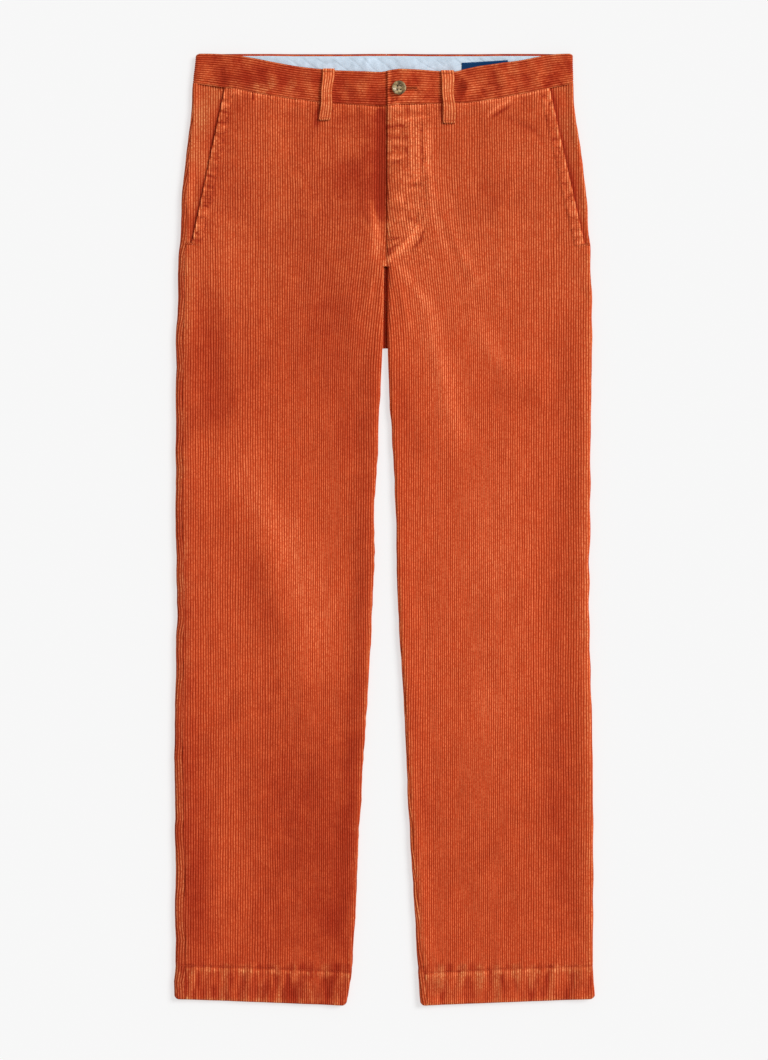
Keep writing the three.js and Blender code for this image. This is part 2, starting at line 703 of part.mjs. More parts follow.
// The keyhole buttonhole: a round eye round the shank and a slit away from the edge
function buttonholeCutters() {
  const { length, width, eyeRadius } = buttonhole;
  const eye = new THREE.CylinderGeometry(eyeRadius, eyeRadius, 30, 12).rotateX(Math.PI / 2);
  const slit = new THREE.BoxGeometry(length, width, 30);
  return [
    eye.translate(button.x, button.y, 15),
    slit.translate(button.x + length / 2, button.y, 15),
  ];
}

function solidFrom(geometry) {
  const places = new Map();
  const vertices = [];
  const position = geometry.getAttribute("position");
  const order = geometry.index ? [...geometry.index.array] : [...Array(position.count).keys()];
  const numbers = order.map((i) => {
    const point = [position.getX(i), position.getY(i), position.getZ(i)];
    const key = point.map((value) => Math.round(value * 1e4)).join();
    if (!places.has(key)) {
      places.set(key, places.size);
      vertices.push(...point);
    }
    return places.get(key);
  });
  const mesh = new wasm.Mesh({
    numProp: 3,
    vertProperties: new Float32Array(vertices),
    triVerts: new Uint32Array(numbers),
  });
  return new wasm.Manifold(mesh);
}

// A geometry with another one's space cut out of it, without the crumbs a cut can leave
function cut(geometry, cutter) {
  const bodies = solidFrom(geometry).subtract(solidFrom(cutter)).decompose();
  const mesh = bodies.sort((a, b) => b.volume() - a.volume())[0].getMesh();
  const result = new THREE.BufferGeometry();
  const positions = new Float32Array(mesh.numVert * 3);
  for (let i = 0; i < mesh.numVert; i += 1)
    positions.set(mesh.vertProperties.subarray(i * mesh.numProp, i * mesh.numProp + 3), i * 3);
  result.setAttribute("position", new THREE.BufferAttribute(positions, 3));
  result.setIndex(new THREE.BufferAttribute(mesh.triVerts, 1));
  return result;
}

const trousers = new THREE.Group();
const materials = Object.fromEntries(
  Object.entries(finishes).map(([name, finish]) => [name, new THREE.MeshStandardMaterial(finish)]),
);
function add(name, geometry, finish) {
  const mesh = new THREE.Mesh(geometry, materials[finish]);
  mesh.name = name;
  trousers.add(mesh);
}

for (const side of ["left", "right"]) {
  add(`front_${side}`, frontPanel(side), "corduroy");
  add(`back_${side}`, backPanel(side), "corduroy");
  add(`pocket_facing_${side}`, pocketFacing(side), "corduroy");
}
add("waistband_left", waistband("left"), "corduroy");
add("waistband_right", buttonholeCutters().reduce(cut, waistband("right")), "corduroy");
for (const loop of frontLoops) add(loop.name, frontLoop(loop), "corduroy");
for (const loop of backLoops) add(loop.name, backLoop(loop), "corduroy");
add("waistband_lining", waistLining(), "lining");
add("plain_label", plainLabel(), "label");
add("button", roundButton(), "button");
add("button_shank", threadShank(), "thread");

export default trousers;
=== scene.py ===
import math

import bpy
import numpy as np
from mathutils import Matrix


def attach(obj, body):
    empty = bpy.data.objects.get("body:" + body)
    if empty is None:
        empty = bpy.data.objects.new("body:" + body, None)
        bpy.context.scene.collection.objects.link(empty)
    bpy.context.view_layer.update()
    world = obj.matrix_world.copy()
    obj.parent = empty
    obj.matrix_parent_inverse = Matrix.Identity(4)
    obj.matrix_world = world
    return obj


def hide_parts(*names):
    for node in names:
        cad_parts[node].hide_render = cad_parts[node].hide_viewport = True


# Corduroy trousers lying on their back. Lengths in this script are millimetres on the CAD's own axes:
# x to the right, y up to the waist, z up from the surface. makeMesh turns them into metres.
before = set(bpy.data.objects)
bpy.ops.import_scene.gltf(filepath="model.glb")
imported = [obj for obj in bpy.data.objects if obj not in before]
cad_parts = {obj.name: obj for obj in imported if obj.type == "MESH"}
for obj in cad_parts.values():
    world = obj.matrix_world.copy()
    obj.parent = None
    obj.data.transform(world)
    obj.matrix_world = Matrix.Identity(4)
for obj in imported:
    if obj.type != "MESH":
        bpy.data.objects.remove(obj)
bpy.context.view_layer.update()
print("trousers: frame loaded")

garment = {
    "waistY": 536.0,  # top edge of the waistband behind
    "centreX": 1.8,
    "reach": 238.0,  # the first wale is counted from here
    "seamGap": -0.5,  # the panels run on under the waistband
    "crotchY": 296.0,  # where the fronts part
    "seatY": 204.0,  # where the backs part
    "hemDrop": 7.5,
    "hemTop": -485.5,
    "edgeFade": 26.0,
}
cloth = {
    "wall": 1.3,
    "hemWall": 2.5,
    "pitch": 2.8,  # from wale to wale
    "rise": 0.62,  # of a wale above its groove
    "across": 4,  # grid columns for each wale
}
way = {"left": 1, "right": -1}  # from a leg's outer edge inwards

sideLine = {
    "left": [(536, -212), (500, -216), (472, -217), (427, -222.5), (371, -228), (315, -231), (225, -234),
             (33, -235), (-80, -233.5), (-250, -236), (-400, -235), (-480, -235.5), (-530, -236.5)],
    "right": [(536, 212), (500, 212.5), (472, 214), (427, 221), (371, 227.5), (315, 231.5), (225, 233.5),
              (33, 231.5), (-80, 230.5), (-250, 234), (-400, 235), (-480, 234.5), (-530, 236.5)],
}
inseamLine = {
    "left": [(296, -1), (205, -2.8), (146, -5.6), (33, -11), (-80, -13.5), (-192, -19.7), (-305, -27),
             (-417, -32.7), (-485, -36), (-536, -43)],
    "right": [(296, 4.5), (205, 4), (146, 6.5), (33, 12.4), (-80, 15.5), (-192, 22), (-305, 27),
              (-417, 33.2), (-485, 37.2), (-536, 41)],
}
# How far each seam lies over the side fold, along the cloth
wrapOuter = {
    "left": [(500, 3), (427, 5), (315, 9), (33, 9.5), (-250, 11), (-485, 13), (-536, 14)],
    "right": [(500, 2), (33, 2), (-250, 2.5), (-485, 3), (-536, 3)],
}
wrapInner = {
    "left": [(500, -1.2), (200, -1.2), (33, 0), (-250, 2), (-485, 3), (-536, 3)],
    "right": [(500, -1.2), (200, -1.2), (33, 1), (-250, 4), (-485, 8), (-536, 11)],
}
middleLine = [(500, 6.8), (427, 6.8), (315, 6.6), (250, 5.9), (146, 4.7), (-80, 4.4), (-400, 4.4),
              (-485, 5.9), (-536, 6.2)]
# How far the front edges of the waistband sag, by the distance right of the centre
frontTop = [(-216, 0), (-196, 0.2), (-170, 2.2), (-150, 5.2), (-130, 9.1), (-104, 13.7), (-86, 16), (-60, 18.5),
            (-46, 19.2), (-20, 20.3), (-7, 20.8), (0, 19.8), (14, 17.6), (20, 17.7), (36, 18.2), (46, 18.8), (60, 19.6),
            (78, 20), (88, 17.6), (104, 14.1), (118, 12.3), (130, 10.6), (150, 8), (170, 4.1), (183, 1.6), (196, 0.3),
            (214, 0)]
frontSeam = [(-216, 33.5), (-196, 36.2), (-170, 40.2), (-150, 43.9), (-130, 47.5), (-104, 51.2), (-86, 53.5),
             (-60, 56.1), (-46, 57), (-20, 58.6), (-7, 59), (0, 58.8), (14, 57.6), (20, 57.4), (36, 57), (46, 56.7),
             (60, 56.4), (78, 55.7), (88, 55.4), (104, 54.2), (118, 52), (130, 50), (150, 46.2), (170, 42.2), (183, 39.3),
             (196, 36.5), (214, 33.5)]
foldRadius = 3.75
# Broad soft ridges in the fronts: x, y, length, width, height, lean in degrees
softRidges = [(-118, 60, 330, 46, 1.6, -4), (-86, -230, 300, 40, 1.3, -2), (-196, -60, 330, 22, 1.0, 0),
              (62, 90, 260, 42, 1.6, 5), (150, -60, 360, 48, 1.4, 2), (104, -330, 240, 42, 1.1, -3),
              (-96, 380, 150, 54, 1.2, 6), (112, 380, 150, 54, 1.2, -8)]
backLoopX = [garment["centreX"] + shift for shift in (-150, 0, 150)]

# Creases of the fronts, each a line of points with its half width and its height; a trough is negative
creases = [
    ([(-172, 157), (-151, 70), (-135, -4), (-110, -124), (-81, -237), (-64, -361)], 20, 1.6),
    ([(-202, 270), (-191, 191), (-178, 112)], 16, -1.3),
    ([(-39, 281), (-31, 180)], 12, 1.3),
    ([(-44, 112), (-33, -34)], 12, 1.0),
    ([(-187, 332), (-183, 258)], 22, 1.2),
    ([(-67, 315), (-75, 236)], 25, -1.2),
    ([(-200, -305), (-208, -417), (-194, -479)], 14, 1.0),
    ([(-64, -338), (-52, -451)], 14, 1.0),
    ([(-106, 427), (-82, 396)], 5, 0.6),
    ([(-56, 416), (-37, 403)], 8, -0.9),
    ([(-73, 459), (-95, 439)], 6, -0.6),
    ([(44, 416), (53, 382), (69, 343), (91, 301), (110, 267)], 5, 0.9),
    ([(44, 275), (51, 225), (62, 180), (76, 123), (87, 90)], 9, 1.6),
    ([(92, 261), (108, 219), (127, 189), (153, 180), (184, 184)], 9, 1.4),
    ([(108, 185), (136, 146), (175, 146)], 14, -1.2),
    ([(198, 236), (203, 70), (193, -34), (190, -192)], 16, -1.3),
    ([(96, 394), (130, 365)], 14, -1.0),
    ([(130, 90), (119, -34), (130, -192), (124, -282)], 34, 1.2),
    ([(49, 101), (62, 56), (70, 11)], 12, -1.2),
    ([(29, 11), (35, -57), (40, -124)], 10, -0.9),
    ([(153, 455), (189, 416)], 14, 1.0),
    ([(136, 463), (169, 448), (184, 427)], 4, -0.8),
    ([(216, 275), (231, 258)], 4, -0.9),
    ([(114, 468), (142, 485)], 3, 0.6),
    # Round the fly
    ([(-6, 479), (-5, 326)], 8, -0.9),
    ([(5, 461), (24, 463)], 3, 0.8),
    ([(5, 445), (25, 443)], 3.5, -0.9),
    ([(5, 431), (25, 427)], 3.5, -0.8),
    ([(5, 415), (26, 419)], 3, 0.9),
    ([(25, 383), (44, 387)], 3, -0.8),
    ([(5, 371), (23, 368)], 4, 0.5),
    ([(26, 399), (40, 405)], 4, 0.5),
    ([(5, 346), (22, 342)], 3, -0.5),
    ([(23, 470), (62, 463)], 4, -0.5),
    ([(22, 454), (60, 461)], 4, 0.5),
    ([(-2, 301), (-14, 275), (-28, 236)], 5, 0.9),
    ([(-4, 315), (-12, 335), (-21, 365)], 4, 0.9),
    ([(-1, 294), (-7, 258)], 4, 0.6),
    ([(5, 294), (20, 258), (31, 213)], 5, 0.8),
    ([(8, 301), (31, 275), (53, 242)], 5, 0.7),
    # Puckers of the hems
    ([(-194, -496), (-196, -528)], 5, -0.7),
    ([(-172, -498), (-176, -528)], 5, 0.5),
    ([(-131, -494), (-133, -530)], 5, -0.6),
    ([(-111, -498), (-113, -530)], 5, 0.5),
    ([(-75, -494), (-61, -530)], 6, -0.6),
    ([(62, -496), (66, -530)], 5, 0.5),
    ([(96, -494), (94, -530)], 5, -0.5),
    ([(136, -496), (140, -530)], 6, 0.5),
    ([(175, -494), (173, -528)], 5, -0.6),
    ([(211, -494), (215, -528)], 5, 0.5),
]
bandCreases = [
    ([(-183, 526), (-181, 497)], 5, -0.6),
    ([(-138, 520), (-136, 489)], 6, -0.5),
    ([(-112, 513), (-95, 488)], 5, -0.5),
    ([(-53, 512), (-37, 481)], 5, -0.6),
    ([(-44, 515), (-25, 486)], 4, 0.5),
    ([(72, 512), (94, 493)], 4.5, -0.8),
    ([(83, 515), (108, 495)], 4.5, 0.6),
    ([(121, 522), (130, 486)], 5, -0.6),
    ([(136, 512), (144, 489)], 4, 0.5),
    ([(181, 529), (189, 501)], 4, -0.6),
    ([(173, 526), (176, 497)], 4, 0.4),
    ([(-202, 524), (-201, 502)], 5, 0.4),
    ([(37, 508), (39, 484)], 4, -0.5),
]
# Painted light and shade of the folds, as strokes like the creases: lighter where positive, darker where negative
paintedLightStrokes = [
    ([(-200, 273), (-193, 146), (-182, 70)], 22, -0.4),
    ([(-200, 118), (-163, 56), (-112, -12), (-84, -79), (-73, -170)], 34, 0.72),
    ([(55, 416), (80, 330), (108, 273)], 10, 0.35),
    ([(40, 273), (62, 191), (85, 86)], 15, 0.6),
    ([(10, 191), (29, 120), (48, 70)], 14, -0.4),
    ([(93, 244), (138, 183), (175, 183)], 14, 0.35),
    ([(201, 244), (203, 60), (194, -40), (196, -240), (201, -454)], 18, -0.4),
    ([(227, 250), (227, 0), (229, -250), (231, -480)], 6, 0.4),
    ([(29, -229), (42, -350), (54, -485)], 5, 0.3),
    ([(-224, 240), (-227, 40), (-227, -250), (-226, -478)], 15, -0.4),
    ([(-12, 230), (-20, 80), (-28, -120), (-42, -330), (-50, -480)], 11, -0.35),
    ([(16, 150), (26, -80), (40, -300), (50, -440)], 11, -0.25),
    ([(-2, 500), (-3, 400), (-3, 345)], 7, -1.1),
    ([(-14, 490), (-14, 400), (-12, 330)], 16, -0.35),
    ([(-8, 300), (-18, 250)], 3, 0.6),
    ([(-3, 318), (-9, 345), (-16, 372)], 2.5, 0.8),
    ([(-5, 310), (-14, 330), (-24, 350)], 2.5, 0.6),
    ([(-148, 492), (-148, 484)], 1.1, -3.0),
    ([(114, 466), (142, 484)], 2.0, 1.4),
    ([(118, 462), (146, 480)], 1.8, -0.9),
    ([(136, 463), (169, 448), (184, 427)], 5, -0.4),
    # Small creases across the fly
    ([(1, 457), (14, 461), (26, 460)], 2.6, 1.1), ([(0, 453), (12, 455), (28, 453)], 2.2, -0.8),
    ([(0, 448), (10, 447), (18, 449)], 2.2, 1.0), ([(0, 444), (14, 441), (27, 442)], 2.6, -0.7),
    ([(1, 436), (12, 436), (27, 433)], 2.6, 1.0), ([(6, 431), (26, 428)], 2.4, -0.6),
    ([(1, 419), (14, 418), (26, 421)], 2.6, 1.0), ([(0, 414), (10, 413), (21, 416)], 2.2, -0.7),
    ([(24, 392), (44, 396)], 2.4, 0.9), ([(24, 386), (44, 390)], 2.4, -0.7), ([(24, 381), (44, 384)], 2.4, 0.7),
    ([(5, 372), (23, 369)], 2.8, 0.7), ([(5, 361), (24, 358)], 2.4, -0.5), ([(22, 472), (60, 464)], 2.6, -0.7),
    ([(22, 462), (60, 467)], 2.6, 0.9), ([(26, 484), (27, 462)], 2.0, -0.7), ([(25, 444), (26, 405)], 2.2, -0.8),
    ([(30, 478), (31, 400)], 2.4, 0.9), ([(42, 458), (43, 400)], 2.0, -0.9), ([(37, 452), (38, 412)], 2.4, 1.0),
    ([(47, 452), (49, 400)], 2.6, 0.9), ([(24, 382), (25, 350)], 2.0, -0.6), ([(8, 306), (31, 278), (55, 246)], 4.5, 0.5),
    ([(4, 296), (14, 270), (22, 236)], 4.0, -0.4), ([(46, 400), (58, 350), (74, 300)], 4.5, 0.5),
    ([(54, 405), (68, 352), (86, 300)], 4.0, -0.3), ([(-9, 300), (-10, 330), (-13, 360)], 3.0, 0.7),
]
# And as soft patches, among them painted shadows beside the belt loops: x, y, half width, half length, lean in degrees,
# strength
paintedLightPatches = [
    (-171, 303, 30, 40, 0, 0.35), (-129, 427, 45, 60, 0, 0.4), (-39, 435, 20, 14, 0, 0.4),
    (-39, 397, 16, 24, 0, -0.35), (-57, 240, 38, 70, 0, -0.2), (-80, 220, 65, 78, 0, -0.2),
    (-176, 150, 38, 70, 0, -0.1), (-168, 8, 20, 50, -18, -0.35), (-131, -82, 20, 62, -14, -0.38),
    (-43, 115, 20, 50, 0, -0.25), (-87, -335, 40, 110, -5, -0.22), (-175, -364, 20, 100, 0, 0.35),
    (-208, -402, 14, 60, 0, -0.35), (-65, -440, 18, 26, 0, -0.25),
    (138, 146, 36, 20, 0, -0.35), (116, 371, 30, 28, 0, -0.35), (164, 424, 32, 28, 0, 0.35),
    (122, -12, 36, 80, 0, 0.35), (122, -222, 36, 80, 0, 0.3), (34, 390, 28, 92, 0, 0.6),
    (25, 322, 9, 28, 0, 0.4), (110, 330, 70, 90, 0, 0.2),
    (-200, 508, 18, 10, 0, 0.5), (-150, 512, 60, 9, 0, -0.3), (-118, 492, 50, 8, 0, 0.25),
    (110, 505, 60, 14, 0, 0.3), (87, 498, 5, 12, 25, -1.3), (95, 492, 4, 10, 25, 0.8),
    (-75, 468, 4, 15, 6, -1.0), (64, 469, 2.5, 14, -4, -0.8),
]

pockets = {
    "left": {"top": (-180, 496), "end": (-217.5, 321)},
    "right": {"top": (186, 496), "end": (225.5, 320)},
}
flyRows = [
    [(41.7, 479.1), (41.7, 427.3), (41.1, 375.5), (38.3, 355.3), (32.1, 338.4), (22.0, 324.9), (11.8, 314.7),
     (4.5, 308.5)],
    [(46.7, 452.1), (46.7, 393.5), (45.6, 362.0), (41.1, 341.7), (33.2, 326.0), (20.8, 312.5), (6.2, 299.0)],
]
# The puckered turn at the foot of the fly, painted lighter as a highlight, and the lines round it, painted darker as
# shade
flyFoot = [(40, 343), (30, 328), (20, 317), (10, 308), (4, 302)]
flyFootEdges = [([(4, 327), (18, 328)], 2.0), ([(25, 351), (37, 346), (44, 341)], 2.6),
                ([(46, 341), (40, 325), (29, 312)], 2.2), ([(6, 314), (16, 322), (27, 333)], 1.8),
                ([(5, 318), (6, 308)], 2.0)]
hemRows = {
    "left": [(-233, -491), (-120, -494.5), (-40, -498)],
    "right": [(37, -499.5), (120, -495.5), (233, -491)],
}


# s squared times (3 - 2 s), with s kept from 0 to 1
def smooth(value):
    s = np.clip(value, 0, 1)
    return s * s * (3 - 2 * s)


# 1 within the flat, falling smoothly to 0 over the ramp beyond it
def plateau(distance, flat, ramp):
    return 1 - smooth((np.abs(distance) - flat) / ramp)


# A cubic between each two rows of a table, whose slope at a row is that of the line between its
# neighbours
def curveAt(rows, at):
    keys, values = np.array(sorted(rows), float).T
    at = np.clip(at, keys[0], keys[-1])
    after = np.minimum(np.arange(len(keys)) + 1, len(keys) - 1)
    before = np.maximum(np.arange(len(keys)) - 1, 0)
    slope = (values[after] - values[before]) / (keys[after] - keys[before])
    i = np.clip(np.searchsorted(keys, at), 1, len(keys) - 1)
    step = keys[i] - keys[i - 1]
    s = (at - keys[i - 1]) / step
    start = (1 + 2 * s) * (1 - s) ** 2 * values[i - 1] + s * (1 - s) ** 2 * step * slope[i - 1]
    return start + s * s * (3 - 2 * s) * values[i] + s * s * (s - 1) * step * slope[i]


# The small unevenness of a leg's edge down its length, none near the waist
def edgeWobble(y, seed, above):
    return (0.5 * ripple(0 * y, y, 60, seed) + 0.25 * ripple(0 * y, y, 22, seed + 9)) * smooth((above - y) / 60)


# Height times exp(-(distance to the line / width) squared), fading out at both ends of the line
def stroke(x, y, line, width, height, fade=0.6):
    points = np.array(line, float)
    total = np.hypot(*(points[1:] - points[:-1]).T).sum()
    found = np.zeros(np.shape(x))
    low, high = points.min(0) - 3 * width, points.max(0) + 3 * width
    near = (x > low[0]) & (x < high[0]) & (y > low[1]) & (y < high[1])
    if not near.any():
        return found
    px, py = x[near], y[near]
    best, place, run = np.full(px.shape, 1e9), np.zeros(px.shape), 0.0
    for (ax, ay), (bx, by) in zip(points[:-1], points[1:]):
        length = math.hypot(bx - ax, by - ay)
        s = np.clip(((px - ax) * (bx - ax) + (py - ay) * (by - ay)) / length**2, 0, 1)
        distance = np.hypot(px - ax - s * (bx - ax), py - ay - s * (by - ay))
        place = np.where(distance < best, (run + s * length) / total, place)
        best = np.minimum(distance, best)
        run += length
    ends = np.sin(np.pi * np.clip(place, 0.0, 1.0)) ** fade if fade else 1.0
    found[near] = height * np.exp(-((best / width) ** 2)) * ends
    return found


# exp of minus the squared distance in an ellipse that leans from upright, times the strength
def patch(x, y, middleX, middleY, width, length, lean, strength):
    turn = math.radians(lean)
    across = (x - middleX) * math.cos(turn) - (y - middleY) * math.sin(turn)
    down = (x - middleX) * math.sin(turn) + (y - middleY) * math.cos(turn)
    return strength * np.exp(-((across / width) ** 2) - (down / length) ** 2)


# The mean of several sine waves of about one length in random directions
def ripple(x, y, length, seed, count=9, stretch=1.0):
    chance = np.random.default_rng(seed)
    turn, start = chance.uniform(0, 2 * np.pi, (2, count))
    size = length * chance.uniform(0.7, 1.5, count)
    waves = [np.sin(2 * np.pi * (x * np.cos(a) + y * np.sin(a) / stretch) / s + b)
             for a, b, s in zip(turn, start, size)]
    return sum(waves) / math.sqrt(count)


# Narrow creases: 1 where a ripple crosses nought, falling off as exp(-(ripple / 0.26) squared)
def crinkle(x, y, length, seed, stretch=1.0):
    return np.exp(-((ripple(x, y, length, seed, 7, stretch) / 0.26) ** 2))


def frontSagTop(x):
    return curveAt(frontTop, x - garment["centreX"])


def frontSagSeam(x):
    return curveAt(frontSeam, x - garment["centreX"])


def backSag(x):
    return 42 - 8.5 * np.clip(np.abs(x - garment["centreX"]) / 216, 0, 1)


# What lies on the loops behind the waist is lifted by one loop's thickness, sloping off round it
def bed(x, y):
    reach = np.clip(1 - (garment["waistY"] - y - 66) / 90, 0, 1)
    lift = [np.clip(1 - (np.abs(x - at) - 20) / 26, 0, 1) for at in backLoopX]
    return 1.9 * reach * np.maximum.reduce(lift)


def ridges(x, y):
    found = 0
    for middleX, middleY, length, width, height, lean in softRidges:
        size = 1 / math.sqrt(1.6)
        found = found + patch(x, y, middleX, middleY, width * size, length / 2 * size, lean, height)
    return found


# Painted light and shade of the folds from the strokes and patches, a painted light that brightens the right side, a
# faint random variation, and darker towards the hems and towards the waist
def paintedLightAt(x, y):
    found = sum(patch(x, y, *spot) for spot in paintedLightPatches)
    for line, width, strength in paintedLightStrokes:
        found = found + stroke(x, y, line, width, strength, 0.35)
    found = found + 0.045 * ripple(x, y, 46, 5, stretch=2.0) + 0.045 * ripple(x, y, 17, 6, stretch=2.6)
    found = found + 0.25 * smooth((x + 40) / 80) - 0.12
    return found - 0.32 * smooth((-120 - y) / 200) - 0.3 * smooth((y - 250) / 150)


# How far the wales are pushed aside of upright: they waver, and lean away round the crotch
def waleShift(side, x, y):
    aside = 0.4 * ripple(x, y, 60, 21, stretch=3) + 0.16 * ripple(x, y, 18, 22, stretch=1.6)
    if side == "left":
        return aside - 13 * smooth((360 - y) / 200) * (1 - smooth((-18 - x) / 110))
    return aside + 22 * smooth((420 - y) / 230) * (1 - smooth((x - 20) / 150))


# The round top of a wale: a sine between two grooves, raised to less than 1 so the groove is narrow
def waleRise(count):
    return np.sin(np.pi * (count % 1)) ** 0.6


# How much a rounded edge of this radius has fallen at a distance from its end
def edgeRoll(distance, radius):
    inside = np.clip(radius - distance, 0, radius)
    return radius - np.sqrt(radius**2 - inside**2)


# One leg's cloth seen end on, as a flattened tube at each row. t is the length along its outer face,
# from the outermost line over the top to the innermost line and back underneath.
class Leg:
    def __init__(self, side, nominal, sagOf, partY):
        self.side, self.way = side, way[side]
        self.nominal = nominal
        self.sagOf = sagOf
        self.closed = nominal < partY
        self.edgeY = garment["waistY"] - float(sagOf(curveAt(sideLine[side], 500.0))) - garment["seamGap"]
        self.slope = np.interp(nominal, [-529, -487, -484, -200], [1, 0.85, 0.85, 0])
        self.sag = np.interp(nominal, [319, 371, 472, self.edgeY], [0, 0.1, 0.8, 1])
        self.outerX = curveAt(sideLine[side], nominal) + edgeWobble(nominal, 71 + self.way, 420)
        inseam = curveAt(inseamLine[side], nominal - self.slope * garment["hemDrop"])
        inseam = inseam + edgeWobble(nominal, 74 + self.way, 190)
        self.innerX = np.where(self.closed, inseam, garment["centreX"] + self.way * 40)
        self.width = np.abs(self.innerX - self.outerX)
        self.quarter = np.pi * foldRadius / 2
        self.half = 2 * self.quarter + self.width - 2 * foldRadius
        self.outerSeam = curveAt(wrapOuter[side], nominal)
        self.innerSeam = self.half - curveAt(wrapInner[side], nominal)

    def tAt(self, x):
        return (x - self.outerX) * self.way + self.quarter - foldRadius

    def rowY(self, x):
        sagged = self.sag * (garment["waistY"] - self.sagOf(x) - garment["seamGap"] - self.edgeY)
        return self.nominal + sagged - self.slope * garment["hemDrop"] * np.abs(x - self.outerX) / self.width

    # Quarter circles at both edges, flat below, and above them the middle height faded in from each edge
    def at(self, t):
        radius, quarter = foldRadius, self.quarter
        width, half, outerX = (item[:, None] for item in (self.width, self.half, self.outerX))
        t = np.mod(t, 2 * half)
        onTop = (t >= quarter) & (t < half - quarter)
        under = (t >= half + quarter) & (t < 2 * half - quarter)
        outerFold = (t < quarter) | (t >= 2 * half - quarter)
        angle = np.where(t < quarter, t / radius, np.where(outerFold, (t - 2 * half) / radius, (half - t) / radius))
        turn = np.where(outerFold, -1, 1)
        arcA = np.where(outerFold, radius, width - radius) + turn * radius * np.cos(angle)
        a = np.where(onTop, radius + t - quarter, np.where(under, width - radius - (t - half - quarter), arcA))
        x = outerX + self.way * a
        outA = np.where(onTop | under, 0, turn * np.cos(angle))
        outZ = np.where(onTop, 1, np.where(under, -1, np.sin(angle)))
        joined = smooth((330 - self.nominal) / 50)[:, None]
        innerEdge = np.where(self.closed[:, None], width, np.abs(garment["centreX"] - outerX))
        fromInner = 1 - joined * (1 - smooth((innerEdge - radius - a) / garment["edgeFade"]))
        middle = curveAt(middleLine, self.nominal)[:, None]
        relief = np.where(self.nominal < -484, 0.4, 1)[:, None] * ridges(x, self.nominal[:, None])
        top = 2 * radius + (middle - 2 * radius + relief) * smooth((a - radius) / garment["edgeFade"]) * fromInner
        z = np.where(onTop, top, np.where(under, 0, radius + radius * np.sin(angle)))
        nominal, sag, slope = self.nominal[:, None], self.sag[:, None], self.slope[:, None]
        sagged = sag * (garment["waistY"] - self.sagOf(x) - garment["seamGap"] - self.edgeY)
        y = nominal + sagged - slope * garment["hemDrop"] * np.abs(x - outerX) / width
        corner = np.clip(1 - np.minimum(a, width - a) / 5, 0, 1)
        y = y + 3.2 * (1 - np.sqrt(1 - corner**2)) * smooth((-500 - nominal) / 29)
        return x, y, z + bed(x, y), self.way * outA, outZ

    # The same push in t
    def warp(self, t):
        x = self.outerX[:, None] + self.way * (t - self.quarter + foldRadius)
        return self.way * waleShift(self.side, x, self.nominal[:, None])


# Grid columns of one panel: lines a fraction of a wale apart, pushed aside by the warp, each row's cut
# off at its two edges. Columns beyond an edge fall on that edge's own point.
def panelColumns(first, low, high, fraction, step, warp=None):
    count = int(np.ceil(((high - first).max() + 24) / fraction)) + 2
    count += -(count - 1) % step
    number = np.arange(count)[None, :]
    even = first[:, None] + number * fraction
    t = even
    for _ in range(5 if warp else 0):
        t = even + warp(t)
    keep = 0.3 * fraction
    lowColumn = (t <= low[:, None] + keep).sum(1) - 1
    highColumn = count - (t >= high[:, None] - keep).sum(1)
    lowColumn = np.maximum(lowColumn, 0)
    outer = np.clip(number, lowColumn[:, None], highColumn[:, None])
    tOuter = np.where(number <= lowColumn[:, None], low[:, None], np.where(number >= highColumn[:, None], high[:, None], t))
    coarse = np.arange(0, count, step)[None, :] // step
    lowCoarse, highCoarse = lowColumn[:, None] // step, -(-highColumn[:, None] // step)
    inner = np.clip(coarse, lowCoarse, highCoarse)
    tCoarse = t[:, ::step]
    tInner = np.where(coarse <= lowCoarse, low[:, None], np.where(coarse >= highCoarse, high[:, None], tCoarse))
    return tOuter, outer, tInner, inner


# Triangles of a closed wall of cloth between an outer and a coarser inner grid, with fans at its two
# ends. The columns say which point of its row each place of the grid is.
def wallTriangles(outerColumns, innerColumns, step):
    rows, outerCount = outerColumns.shape
    innerCount = innerColumns.shape[1]
    o = outerColumns + np.arange(rows)[:, None] * outerCount
    n = innerColumns + np.arange(rows)[:, None] * innerCount + rows * outerCount
    grid = lambda g: [(g[:-1, :-1], g[1:, :-1], g[1:, 1:]), (g[:-1, :-1], g[1:, 1:], g[:-1, 1:])]
    parts = grid(o) + [(a, c, b) for a, b, c in grid(n)]
    parts += [(o[1:, 0], o[:-1, 0], n[:-1, 0]), (o[1:, 0], n[:-1, 0], n[1:, 0])]
    parts += [(o[:-1, -1], o[1:, -1], n[1:, -1]), (o[:-1, -1], n[1:, -1], n[:-1, -1])]
    column = np.arange(outerCount - 1)
    nearest = (column + step // 2) // step
    for row, flip in ((0, 1), (-1, -1)):
        fan = [(o[row, :-1], o[row, 1:], n[row, nearest])]
        fan += [(o[row, step // 2::step][:innerCount - 1], n[row, 1:], n[row, :-1])]
        parts += [part[::flip] for part in fan]
    triangles = np.concatenate([np.stack([np.ravel(p) for p in part], 1) for part in parts])
    distinct = (triangles[:, 0] != triangles[:, 1]) & (triangles[:, 1] != triangles[:, 2]) & (triangles[:, 2] != triangles[:, 0])
    return triangles[distinct]


